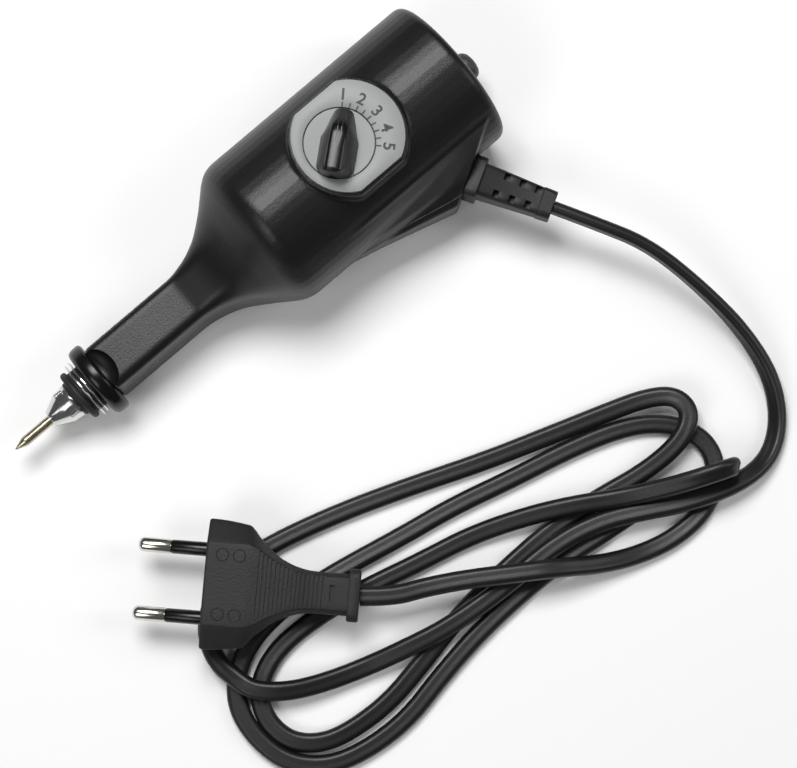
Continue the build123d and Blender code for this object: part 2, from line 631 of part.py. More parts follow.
with BuildPart() as plug_body:
    for distance, width, height, corner in ((0.0, 35.3, 13.4, 4.0), (9.0, 35.3, 13.4, 4.0), (20.0, 20.0, 12.0, 3.6),
                                            (28.5, 11.5, 10.0, 3.0), (39.4, 11.5, 9.4, 3.0)):
        with BuildSketch(plug_plane(distance)):
            RectangleRounded(width, height, corner)
    loft(ruled=True)
    with BuildSketch(plug_plane(39.4)):
        RectangleRounded(14.4, 10.4, 3.0)
    extrude(amount=2.6)
keep("plug_body", plug_body.part)

with BuildPart() as plug_pins:
    for side in (-1, 1):
        with BuildSketch(plug_plane(0)):
            with Locations((side * PIN_GAP / 2, 0)):
                Circle(SLEEVE_BORE_R)
        extrude(amount=-SLEEVE_LENGTH)
        with BuildSketch(plug_plane(-SLEEVE_LENGTH)):
            with Locations((side * PIN_GAP / 2, 0)):
                Circle(PIN_R)
        extrude(amount=SLEEVE_LENGTH - PIN_LENGTH)
    far_faces = plug_pins.faces().sort_by(Axis(PLUG_FACE, PLUG_DIR))[:2]
    chamfer([edge for face in far_faces for edge in face.edges()], 0.8)
keep("plug_pins", plug_pins.part)

with BuildPart() as pin_sleeves:
    for side in (-1, 1):
        with BuildSketch(plug_plane(0)):
            with Locations((side * PIN_GAP / 2, 0)):
                Circle(PIN_R)
                Circle(SLEEVE_BORE_R, mode=Mode.SUBTRACT)
        extrude(amount=-SLEEVE_LENGTH)
keep("pin_sleeves", pin_sleeves.part)

print(len(nodes), "nodes")
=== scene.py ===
"""Looks of a mains powered engraving pen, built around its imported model.

Row frame, in metres: +X from tip to rear, +Z up, the table is z = 0, the cord leaves on the -Y side.
Sizes in this file are in millimetres until a piece is finished.
"""

import logging
import math
from contextlib import contextmanager
from dataclasses import dataclass
from enum import Enum
from typing import Any, Iterator, Sequence

import bmesh
import bpy
from mathutils import Matrix, Vector


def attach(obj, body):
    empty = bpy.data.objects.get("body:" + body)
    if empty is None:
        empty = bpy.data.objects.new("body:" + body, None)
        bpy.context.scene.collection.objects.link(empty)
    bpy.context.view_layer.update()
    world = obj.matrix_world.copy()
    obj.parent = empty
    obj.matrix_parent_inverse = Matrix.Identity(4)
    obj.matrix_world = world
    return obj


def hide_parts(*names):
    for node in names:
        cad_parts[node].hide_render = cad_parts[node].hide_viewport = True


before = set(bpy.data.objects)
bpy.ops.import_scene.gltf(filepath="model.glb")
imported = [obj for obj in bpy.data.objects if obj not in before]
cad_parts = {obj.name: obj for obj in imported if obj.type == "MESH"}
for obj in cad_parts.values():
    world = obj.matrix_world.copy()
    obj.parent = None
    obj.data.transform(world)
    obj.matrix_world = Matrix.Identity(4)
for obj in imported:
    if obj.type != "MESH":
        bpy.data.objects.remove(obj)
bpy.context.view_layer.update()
LOG = logging.getLogger("engraving_pen")
MM = 0.001
NOSE_Z = 11.0
BODY_Z = 21.9
Section = list[Vector]
Piece = bpy.types.Object
Triple = tuple[float, float, float]
Line = Sequence[tuple[float, float]]
ORIGIN = Vector((0.0, 0.0, 0.0))
X_AXIS = Vector((1.0, 0.0, 0.0))
Z_AXIS = Vector((0.0, 0.0, 1.0))
NOSE_AXIS = Vector((0.0, 0.0, NOSE_Z))
# where the cord enters the wing, and which way it leads out
ENTRY = (21.7, -24.9, 17.0)
ENTRY_WAY = (0.482, -0.876, 0.0)


class Body(Enum):
    """The bodies that a piece can ride on."""

    CASE = "body"
    PLUNGER = "plunger"
    DIAL = "dial"
    BUTTON = "button"


# ------------------------------------------------------------------ shader maths
class Level:
    """A socket that arithmetic can be written on."""

    def __init__(self, tree: bpy.types.NodeTree, socket: bpy.types.NodeSocket) -> None:
        """Keeps the node tree and the socket."""
        self.tree = tree
        self.socket = socket

    def _math(self, operation: str, first: Any, second: Any) -> "Level":
        """Adds one Math node.

        Args:
            operation: the Math node's operation.
            first: a Level or a number.
            second: a Level or a number.

        Returns:
            The node's output.
        """
        node = self.tree.nodes.new("ShaderNodeMath")
        node.operation = operation
        for socket, value in zip(node.inputs, (first, second)):
            if isinstance(value, Level):
                self.tree.links.new(value.socket, socket)
            else:
                socket.default_value = float(value)
        return Level(self.tree, node.outputs[0])

    def __add__(self, other: Any) -> "Level":
        """Sum."""
        return self._math("ADD", self, other)

    def __radd__(self, other: Any) -> "Level":
        """Sum, reflected."""
        return self._math("ADD", other, self)

    def __sub__(self, other: Any) -> "Level":
        """Difference."""
        return self._math("SUBTRACT", self, other)

    def __rsub__(self, other: Any) -> "Level":
        """Difference, reflected."""
        return self._math("SUBTRACT", other, self)

    def __mul__(self, other: Any) -> "Level":
        """Product."""
        return self._math("MULTIPLY", self, other)

    def __rmul__(self, other: Any) -> "Level":
        """Product, reflected."""
        return self._math("MULTIPLY", other, self)

    def low(self, other: Any) -> "Level":
        """The smaller of the two."""
        return self._math("MINIMUM", self, other)

    def high(self, other: Any) -> "Level":
        """The larger of the two."""
        return self._math("MAXIMUM", self, other)


class Shade:
    """One material and the nodes that are added to it."""

    def __init__(self, name: str) -> None:
        """Starts a material with its surface shader."""
        self.material = bpy.data.materials.new(name)
        self.material.use_nodes = True
        self.tree = self.material.node_tree
        self.surface = self.tree.nodes["Principled BSDF"]

    def node(self, kind: str, settings: dict[str, Any], values: dict[Any, Any], output: int = 0) -> Level:
        """Makes any node.

        Args:
            kind: the node's type.
            settings: attributes that are set first.
            values: numbers, colours or Levels for its inputs, by name or index.
            output: which output is returned.

        Returns:
            That output as a Level.
        """
        made = self.tree.nodes.new(kind)
        for key, value in settings.items():
            setattr(made, key, value)
        for key, value in values.items():
            if isinstance(value, Level):
                self.tree.links.new(value.socket, made.inputs[key])
            else:
                made.inputs[key].default_value = value
        return Level(self.tree, made.outputs[output])

    def place(self, stretch: Triple = (1.0, 1.0, 1.0)) -> Level:
        """Object coordinates, stretched along the row frame's axes."""
        where = self.node("ShaderNodeTexCoord", {}, {}, 3)
        return self.node("ShaderNodeMapping", {}, {"Vector": where, "Scale": stretch})

    def noise(self, where: Level, scale: float, detail: float = 2.0) -> Level:
        """Soft noise from 0 to 1."""
        return self.node("ShaderNodeTexNoise", {}, {"Vector": where, "Scale": scale, "Detail": detail})

    def bands(self, where: Level, scale: float, axis: str) -> Level:
        """Even bands along one axis."""
        return self.node("ShaderNodeTexWave", {"bands_direction": axis}, {"Vector": where, "Scale": scale})

    def tint(self, factor: Level, dark: Sequence[float], light: Sequence[float]) -> Level:
        """A colour between two, by a factor."""
        return self.node("ShaderNodeMix", {"data_type": "RGBA"},
                         {0: factor, 6: (*dark, 1.0), 7: (*light, 1.0)}, 2)

    def relief(self, height: Level, depth: float) -> Level:
        """Surface normal from a height, whose full range is depth metres."""
        return self.node("ShaderNodeBump", {}, {"Strength": 1.0, "Distance": depth, "Height": height})

    def wear(self, **sockets: Any) -> bpy.types.Material:
        """Sets the surface shader's sockets and returns the material.

        Args:
            sockets: socket names with spaces written as underscores.

        Returns:
            The finished material.
        """
        for key, value in sockets.items():
            socket = self.surface.inputs[key.replace("_", " ")]
            if isinstance(value, Level):
                self.tree.links.new(value.socket, socket)
            else:
                socket.default_value = value
        return self.material


# ------------------------------------------------------------------ finishes
@dataclass(frozen=True)
class Finish:
    """What every finish has."""

    name: str
    slot: str
    colour: Triple
    rough: float


@dataclass(frozen=True)
class Moulded(Finish):
    """Moulded plastic or rubber: fine texture, soft mottling, handled patches."""

    grain: float = 2600.0
    depth: float = 0.00003
    mottle: float = 0.18
    specular: float = 0.5

    def make(self) -> bpy.types.Material:
        """Builds the material."""
        shade = Shade(self.name)
        where = shade.place()
        fine = shade.noise(where, self.grain, 3.0)
        pits = shade.node("ShaderNodeTexVoronoi", {}, {"Vector": where, "Scale": self.grain * 0.6})
        patch = shade.noise(where, 45.0, 4.0)
        drift = shade.noise(where, 11.0, 2.0)
        dark = tuple(c * (1.0 - self.mottle) for c in self.colour)
        light = tuple(min(c * (1.0 + self.mottle), 1.0) for c in self.colour)
        tone = (0.5 * patch + 0.3 * fine + 0.2 * drift).low(1.0)
        rough = (self.rough - 0.08 + 0.12 * patch + 0.05 * fine).high(0.05)
        return shade.wear(Base_Color=shade.tint(tone, dark, light), Roughness=rough,
                          Specular_IOR_Level=self.specular,
                          Normal=shade.relief(0.6 * fine + 0.4 * pits, self.depth))


@dataclass(frozen=True)
class Metal(Finish):
    """Turned or plated metal, with fine tool marks along one direction."""

    stretch: Triple = (1.0, 0.05, 0.05)
    depth: float = 0.000012

    def make(self) -> bpy.types.Material:
        """Builds the material."""
        shade = Shade(self.name)
        marks = shade.noise(shade.place(self.stretch), 5200.0, 3.0)
        stain = shade.noise(shade.place(), 260.0, 4.0)
        dark = tuple(c * 0.72 for c in self.colour)
        rough = (self.rough - 0.03 + 0.06 * marks + 0.07 * stain).high(0.03)
        return shade.wear(Base_Color=shade.tint(0.65 * stain + 0.35 * marks, dark, self.colour), Metallic=1.0,
                          Roughness=rough, Normal=shade.relief(marks, self.depth))


@dataclass(frozen=True)
class Layered(Finish):
    """Wound wire or stacked sheet: even lines across one axis."""

    metallic: float
    pitch: float
    axis: str
    depth: float = 0.00008

    def make(self) -> bpy.types.Material:
        """Builds the material."""
        shade = Shade(self.name)
        where = shade.place()
        # a Wave node's band repeats every 2 pi / 20 of its scaled coordinate
        lines = shade.bands(where, math.pi / (10.0 * self.pitch * MM), self.axis)
        patch = shade.noise(where, 300.0, 3.0)
        dark = tuple(c * 0.45 for c in self.colour)
        return shade.wear(Base_Color=shade.tint(0.7 * lines + 0.3 * patch, dark, self.colour),
                          Metallic=self.metallic, Roughness=(self.rough + 0.1 * patch).low(1.0),
                          Normal=shade.relief(lines, self.depth))


@dataclass(frozen=True)
class Floor(Finish):
    """Plain pale table, with the faintest drift in its tone."""

    def make(self) -> bpy.types.Material:
        """Builds the material."""
        shade = Shade(self.name)
        drift = shade.noise(shade.place(), 3.0, 2.0)
        return shade.wear(Base_Color=shade.tint(drift, tuple(c * 0.985 for c in self.colour), self.colour),
                          Roughness=self.rough, Specular_IOR_Level=0.2)


CASING = Moulded("casing_satin", "casing_black", (0.0065, 0.0066, 0.0068), 0.36, 2400.0, 0.00004, 0.22, 0.34)
GLOSS = Moulded("gloss_black", "gloss_black", (0.004, 0.004, 0.0044), 0.24, 900.0, 0.000006, 0.15, 0.32)
RUBBER = Moulded("ring_rubber", "rubber_black", (0.006, 0.006, 0.006), 0.62, 3200.0, 0.00004)
DIAL_GREY = Moulded("dial_grey", "dial_grey", (0.26, 0.27, 0.265), 0.42, 3800.0, 0.000018, 0.06, 0.4)
INK = Moulded("dial_ink", "gloss_black", (0.006, 0.006, 0.007), 0.5, 2000.0, 0.000004)
BUTTON_GREY = Moulded("button_grey", "button_grey", (0.03, 0.031, 0.032), 0.45)
PVC = Moulded("cord_pvc", "cord_black", (0.005, 0.005, 0.0052), 0.40, 1500.0, 0.00003, 0.3, 0.45)
PLUG = Moulded("plug_texture", "plug_black", (0.009, 0.009, 0.0092), 0.55, 2700.0, 0.00011, 0.3, 0.4)
RELIEF = Moulded("relief_plastic", "cord_black", (0.006, 0.006, 0.0063), 0.5, 2400.0, 0.00005, 0.25, 0.4)
NYLON = Moulded("bobbin_nylon", "bobbin_plastic", (0.55, 0.52, 0.44), 0.5)
SWITCH = Moulded("switch_black", "gloss_black", (0.02, 0.02, 0.021), 0.35)
BROWN = Moulded("lead_brown", "lead_brown", (0.16, 0.06, 0.025), 0.4)
BLUE = Moulded("lead_blue", "lead_blue", (0.03, 0.10, 0.32), 0.4)
CHROME = Metal("chrome", "chrome_bright", (0.80, 0.80, 0.79), 0.10)
TIP_STEEL = Metal("tip_steel", "tip_steel", (0.62, 0.56, 0.42), 0.24)
STEEL = Metal("zinc_steel", "steel", (0.55, 0.55, 0.56), 0.3)
BRONZE = Metal("bush_bronze", "bronze", (0.55, 0.38, 0.18), 0.35)
BRASS = Metal("terminal_brass", "terminal_brass", (0.72, 0.55, 0.25), 0.25)
NICKEL = Metal("pin_nickel", "pin_nickel", (0.80, 0.77, 0.70), 0.14, (0.3, 0.3, 1.0))
LAMINATIONS = Layered("core_laminations", "core_steel", (0.20, 0.20, 0.21), 0.45, 0.8, 0.5, "Z")
WINDING = Layered("copper_winding", "copper_winding", (0.62, 0.24, 0.09), 0.3, 0.9, 0.32, "X")
TABLE = Floor("table_white", "", (0.93, 0.93, 0.93), 0.7)


# ------------------------------------------------------------------ bench: shaping with operators
def clear() -> None:
    """Deselects everything."""
    if bpy.context.object is not None and bpy.context.object.mode != "OBJECT":
        bpy.ops.object.mode_set(mode="OBJECT")
    bpy.ops.object.select_all(action="DESELECT")


def only(piece: Piece) -> None:
    """Selects one piece and makes it active."""
    clear()
    piece.select_set(True)
    bpy.context.view_layer.objects.active = piece


@contextmanager
def editing(piece: Piece) -> Iterator[bmesh.types.BMesh]:
    """Edit mode on one piece, with nothing selected at first."""
    only(piece)
    bpy.ops.object.mode_set(mode="EDIT")
    bpy.ops.mesh.select_all(action="DESELECT")
    yield bmesh.from_edit_mesh(piece.data)
    bpy.ops.object.mode_set(mode="OBJECT")


def linked(name: str, data: bpy.types.ID) -> Piece:
    """A new object in the scene around its data."""
    piece = bpy.data.objects.new(name, data)
    bpy.context.scene.collection.objects.link(piece)
    return piece


def lofted(name: str, sections: Sequence[Section], closed: bool = False) -> Piece:
    """Skin through sections: a circle is added, then extruded once for each section and set to it.

    Args:
        name: the piece's name.
        sections: rings of equally many points.
        closed: whether the last section meets the first, as on a ring with a bore.

    Returns:
        The closed piece.
    """
    clear()
    count = len(sections[0])
    bpy.ops.mesh.primitive_circle_add(vertices=count, radius=1.0)
    piece = bpy.context.object
    piece.name = name
    rings = list(sections) + ([sections[0]] if closed else [])
    with editing(piece) as mesh:
        mesh.verts.ensure_lookup_table()
        line = list(range(count))
        for index, point in zip(line, rings[0]):
            mesh.verts[index].co = point
        bpy.ops.mesh.select_all(action="SELECT")
        for ring in rings[1:]:
            bpy.ops.mesh.extrude_region_move()
            mesh = bmesh.from_edit_mesh(piece.data)
            mesh.verts.ensure_lookup_table()
            before = set(line)
            follower = {}
            for vert in (v for v in mesh.verts if v.select):
                for edge in vert.link_edges:
                    other = edge.other_vert(vert).index
                    if other in before:
                        follower[other] = vert
            line = [follower[index].index for index in line]
            for index, point in zip(line, ring):
                mesh.verts[index].co = point
        if not closed:
            bpy.ops.mesh.edge_face_add()
            bpy.ops.mesh.select_all(action="DESELECT")
            mesh = bmesh.from_edit_mesh(piece.data)
            mesh.edges.ensure_lookup_table()
            for edge in mesh.edges:
                if max(v.index for v in edge.verts) < count and edge.is_boundary:
                    edge.select_set(True)
            bpy.ops.mesh.edge_face_add()
        bmesh.update_edit_mesh(piece.data)
        bpy.ops.mesh.select_all(action="SELECT")
        bpy.ops.mesh.remove_doubles(threshold=0.002)
        bpy.ops.mesh.normals_make_consistent(inside=False)
    return piece


def turned(name: str, profile: Line, origin: Vector, along: Vector,
           closed: bool = False, around: int = 72) -> Piece:
    """A turned piece from (station, radius) points.

    Args:
        name: the piece's name.
        profile: stations along the axis with their radii.
        origin: where station 0 is.
        along: the axis direction.
        closed: whether the profile is a closed line, which leaves a bore.
        around: how many sides.

    Returns:
        The piece.
    """
    side = along.orthogonal().normalized()
    up = along.cross(side).normalized()
    sections = []
    for station, radius in profile:
        centre = origin + along * station
        angles = (2 * math.pi * i / around for i in range(around))
        reach = max(radius, 0.0006)
        sections.append([centre + (side * math.cos(a) + up * math.sin(a)) * reach for a in angles])
    return lofted(name, sections, closed)


def modify(piece: Piece, kind: str, **settings: Any) -> Piece:
    """Adds a modifier and applies it."""
    only(piece)
    modifier = piece.modifiers.new(kind.lower(), kind)
    for key, value in settings.items():
        setattr(modifier, key, value)
    bpy.ops.object.modifier_apply(modifier=modifier.name)
    return piece


def soften(piece: Piece, width: float, steps: int = 2, angle: float = 32.0) -> Piece:
    """Rounds every edge sharper than an angle."""
    return modify(piece, "BEVEL", width=width, segments=steps, limit_method="ANGLE",
                  angle_limit=math.radians(angle), harden_normals=False)


def combine(piece: Piece, tool: Piece, operation: str) -> Piece:
    """Cuts, adds or intersects one closed solid with another, which is then removed."""
    modify(piece, "BOOLEAN", object=tool, operation=operation, solver="MANIFOLD")
    bpy.data.objects.remove(tool)
    return piece


def carve(piece: Piece, *tools: Piece) -> Piece:
    """Cuts tools out of a piece, and removes them."""
    for tool in tools:
        combine(piece, tool, "DIFFERENCE")
    return piece


def trim(piece: Piece, point: Vector, normal: Vector) -> Piece:
    """Cuts off what lies beyond a plane and closes the cut."""
    with editing(piece):
        bpy.ops.mesh.select_all(action="SELECT")
        bpy.ops.mesh.bisect(plane_co=point, plane_no=normal, use_fill=True, clear_outer=True)
    return piece


def joined(name: str, *parts: Piece) -> Piece:
    """Joins objects into one piece."""
    only(parts[0])
    for part in parts[1:]:
        part.select_set(True)
    bpy.ops.object.join()
    parts[0].name = name
    return parts[0]


def block(name: str, size: Triple, centre: Vector, basis: Matrix) -> Piece:
    """A block of a size, turned by a basis."""
    clear()
    bpy.ops.mesh.primitive_cube_add(size=1.0)
    piece = bpy.context.object
    piece.name = name
    piece.data.transform(Matrix.Translation(centre) @ basis.to_4x4() @ Matrix.Diagonal((*size, 1.0)))
    return piece


def rounded_box(half_w: float, half_h: float, corner: float, per_corner: int = 8,
                per_side: int = 4) -> list[tuple[float, float]]:
    """Outline of a rounded rectangle about its centre.

    Args:
        half_w: half the width.
        half_h: half the height.
        corner: corner radius.
        per_corner: points on each corner's arc.
        per_side: points on each straight side between the arcs.

    Returns:
        Points, counter-clockwise.
    """
    reach = max(min(corner, half_w - 0.01, half_h - 0.01), 0.01)
    points: list[tuple[float, float]] = []
    centres = [(half_w - reach, half_h - reach), (reach - half_w, half_h - reach),
               (reach - half_w, reach - half_h), (half_w - reach, reach - half_h)]
    for quarter, (cx, cy) in enumerate(centres):
        for step in range(per_corner):
            turn = math.pi / 2 * (quarter + step / (per_corner - 1))
            points.append((cx + reach * math.cos(turn), cy + reach * math.sin(turn)))
        nx, ny = centres[(quarter + 1) % 4]
        turn = math.pi / 2 * (quarter + 1)
        ex, ey = reach * math.cos(turn), reach * math.sin(turn)
        for step in range(1, per_side + 1):
            share = step / (per_side + 1)
            points.append((cx + (nx - cx) * share + ex, cy + (ny - cy) * share + ey))
    return points


def eased(stations: Sequence[Sequence[float]], x: float) -> list[float]:
    """Values between stations on a smooth curve that never overshoots.

    Args:
        stations: rows that start with the station, followed by its values.
        x: where the values are wanted.

    Returns:
        The values at x.
    """
    if x <= stations[0][0]:
        return list(stations[0][1:])
    if x >= stations[-1][0]:
        return list(stations[-1][1:])
    index = max(i for i, row in enumerate(stations[:-1]) if row[0] <= x)

    def slope(at: int, column: int) -> float:
        """Slope at a station, from the harmonic mean of its neighbours' slopes."""
        if at in (0, len(stations) - 1):
            return 0.0
        a, b, c = stations[at - 1], stations[at], stations[at + 1]
        before = (b[column] - a[column]) / (b[0] - a[0])
        after = (c[column] - b[column]) / (c[0] - b[0])
        return 0.0 if before * after <= 0 else 2 * before * after / (before + after)

    left, right = stations[index], stations[index + 1]
    span = right[0] - left[0]
    t = (x - left[0]) / span
    rise = 3 * t ** 2 - 2 * t ** 3
    lead_out, lead_in = (t ** 3 - 2 * t ** 2 + t) * span, (t ** 3 - t ** 2) * span
    return [(2 * t ** 3 - 3 * t ** 2 + 1) * left[column] + lead_out * slope(index, column)
            + rise * right[column] + lead_in * slope(index + 1, column) for column in range(1, len(left))]


MATERIALS: dict[str, bpy.types.Material] = {}


def material_of(finish: Finish) -> bpy.types.Material:
    """The finish's material, made once."""
    if finish.name not in MATERIALS:
        MATERIALS[finish.name] = finish.make()
    return MATERIALS[finish.name]


def finish_piece(piece: Piece, body: Body, finish: Finish, nodes: Sequence[str] = (),
                 smooth: float = 40.0) -> Piece:
    """Brings a piece to metres, smooths, dresses and mounts it.

    Args:
        piece: the shaped piece, in millimetres.
        body: the body that it rides on.
        finish: its finish.
        nodes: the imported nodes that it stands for.
        smooth: the angle below which edges shade smoothly.

    Returns:
        The piece.
    """
    only(piece)
    piece.data.transform(Matrix.Scale(MM, 4))
    bpy.ops.object.shade_smooth_by_angle(angle=math.radians(smooth))
    piece.data.materials.clear()
    piece.data.materials.append(material_of(finish))
    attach(piece, body.value)
    if nodes:
        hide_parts(*nodes)
    LOG.info("%s on %s, %d faces", piece.name, body.value, len(piece.data.polygons))
    return piece


# ------------------------------------------------------------------ camera, lamps and table
@dataclass
class Studio:
    """Camera, lamps and table."""

    eye: Triple = (-0.07436, -0.10615, 0.58772)
    look_at: Triple = (-0.02924, -0.05400, 0.0)
    view_up: Triple = (0.6499, 0.7511, 0.1166)
    lens: float = 95.4
    sensor: float = 36.0
    # name, place, aim, width and height, watts
    lamps: tuple[tuple[str, Triple, Triple, tuple[float, float], float], ...] = (
        ("key_box", (0.10, 0.34, 0.95), (0.0, 0.0, 0.02), (0.50, 0.42), 9.0),
        ("fill_box", (-0.75, -0.15, 0.85), (-0.03, -0.05, 0.0), (0.5, 0.5), 2.6),
        ("rear_box", (0.70, -0.55, 0.8), (0.0, -0.05, 0.0), (0.35, 0.6), 2.6))
    surround: float = 0.10
    table_size: float = 8.0

    def camera(self) -> None:
        """Makes the scene's camera."""
        data = bpy.data.cameras.new("view")
        data.lens = self.lens
        data.sensor_width = self.sensor
        camera = linked("view", data)
        back = (Vector(self.eye) - Vector(self.look_at)).normalized()
        up = Vector(self.view_up)
        up = (up - back * up.dot(back)).normalized()
        right = up.cross(back)
        turn = Matrix((right, up, back)).transposed()
        camera.matrix_world = Matrix.Translation(Vector(self.eye)) @ turn.to_4x4()
        bpy.context.scene.camera = camera

    def lamp(self, name: str, place: Triple, aim: Triple, size: tuple[float, float], power: float) -> None:
        """Hangs one soft box.

        Args:
            name: the lamp's name.
            place: where it hangs.
            aim: the point that it faces.
            size: its width and height.
            power: its power in watts.
        """
        data = bpy.data.lights.new(name, "AREA")
        data.shape = "RECTANGLE"
        data.size, data.size_y = size
        data.energy = power
        lamp = linked(name, data)
        lamp.location = place
        lamp.rotation_euler = (Vector(aim) - Vector(place)).to_track_quat("-Z", "Y").to_euler()

    def build(self) -> None:
        """Makes the lamps, the surround and the table."""
        for row in self.lamps:
            self.lamp(*row)
        world = bpy.data.worlds.new("surround")
        world.use_nodes = True
        sky = world.node_tree.nodes["Background"].inputs
        sky["Color"].default_value = (1.0, 1.0, 1.0, 1.0)
        sky["Strength"].default_value = self.surround
        bpy.context.scene.world = world
        bpy.context.scene.view_settings.view_transform = "Standard"
        clear()
        bpy.ops.mesh.primitive_plane_add(size=self.table_size)
        table = bpy.context.object
        table.name = "table"
        bpy.ops.object.transform_apply()
        table.data.materials.append(material_of(TABLE))


# ------------------------------------------------------------------ mains lead
# heights of a strand on the table, over one other strand and over two
LOW, MID, HIGH = 2.1, 6.3, 10.9
# the points that settle the lead's line, from the strain relief to the plug
ROUTE: tuple[Triple, ...] = (
    (33.5, -46.4, 17.0), (39.8, -57.9, 16.7), (46.8, -71.0, 15.0), (50.6, -88.0, 11.4),
    (52.4, -105.0, 7.2), (50.6, -120.0, 4.0), (44.5, -131.0, LOW), (35.0, -137.4, LOW + 0.6),
    (23.5, -137.0, MID), (9.0, -131.6, MID + 0.4),
    # first long run back under the nose, over the returning strand
    (-3.0, -124.6, MID + 0.3), (-13.0, -119.4, MID + 0.2), (-26.0, -116.2, MID + 0.1),
    (-45.0, -116.0, MID), (-63.0, -114.2, MID + 0.3), (-77.0, -110.6, 5.4), (-89.0, -107.0, 3.2),
    (-99.5, -103.0, 4.6), (-108.2, -98.4, MID), (-114.6, -92.4, MID + 0.3), (-116.0, -87.6, MID),
    (-117.6, -79.6, 3.6), (-114.4, -71.2, LOW), (-107.6, -66.0, LOW), (-98.4, -63.0, LOW),
    (-84.0, -65.2, LOW), (-66.0, -70.4, LOW), (-47.0, -77.4, LOW), (-26.0, -86.0, LOW), (-6.0, -93.0, LOW),
    (9.0, -98.2, 3.0), (19.6, -102.2, 4.8), (26.2, -107.0, MID), (26.4, -113.6, MID + 0.2),
    (19.0, -117.8, MID), (6.0, -117.6, 4.0), (-8.0, -114.6, LOW), (-24.0, -112.4, LOW),
    (-44.0, -112.6, LOW), (-61.0, -114.0, LOW), (-76.0, -117.0, LOW), (-89.0, -119.0, LOW),
    (-102.0, -118.0, LOW), (-110.0, -115.4, LOW), (-115.8, -110.0, LOW), (-117.6, -102.8, LOW),
    (-116.0, -95.8, LOW), (-110.6, -90.6, LOW), (-102.0, -87.8, LOW), (-89.0, -88.2, LOW),
    (-74.0, -91.0, LOW), (-58.0, -95.4, LOW), (-42.0, -99.2, LOW), (-28.0, -104.8, 4.6),
    (-16.0, -111.0, MID + 0.2), (-4.0, -118.6, MID + 1.4), (6.4, -124.4, HIGH + 0.6),
    (15.8, -128.8, HIGH + 4.4),
    # blunt fold, down and back under itself
    (24.2, -132.2, HIGH + 4.4), (24.6, -132.3, MID + 0.2), (16.4, -129.4, MID + 0.2),
    (7.0, -126.0, LOW + 1.6), (-3.0, -124.0, LOW), (-13.4, -122.8, LOW), (-26.6, -120.8, LOW),
    (-44.6, -120.2, LOW), (-60.0, -121.0, LOW), (-74.0, -123.0, LOW), (-88.0, -125.8, LOW),
    (-102.0, -124.8, LOW), (-112.8, -121.2, LOW), (-120.4, -113.4, LOW), (-122.8, -103.0, LOW),
    (-121.4, -92.4, LOW), (-114.4, -84.4, LOW), (-103.4, -80.6, LOW), (-89.0, -80.4, LOW),
    (-73.0, -83.2, LOW), (-57.0, -86.8, LOW), (-40.0, -90.0, LOW), (-23.0, -94.8, LOW), (-8.0, -98.4, LOW),
    (5.6, -102.6, LOW), (15.6, -107.6, LOW), (22.4, -114.6, LOW), (25.0, -123.0, LOW), (21.4, -131.0, LOW),
    (12.4, -136.4, LOW), (0.6, -136.8, LOW), (-10.6, -133.6, LOW + 0.6), (-20.6, -128.4, 5.4),
    (-30.0, -121.6, HIGH), (-40.6, -114.6, HIGH + 0.4), (-51.0, -107.6, HIGH + 0.3),
    (-61.0, -101.8, HIGH + 0.1), (-69.6, -97.8, 11.9), (-76.0, -92.0, 12.0),
)


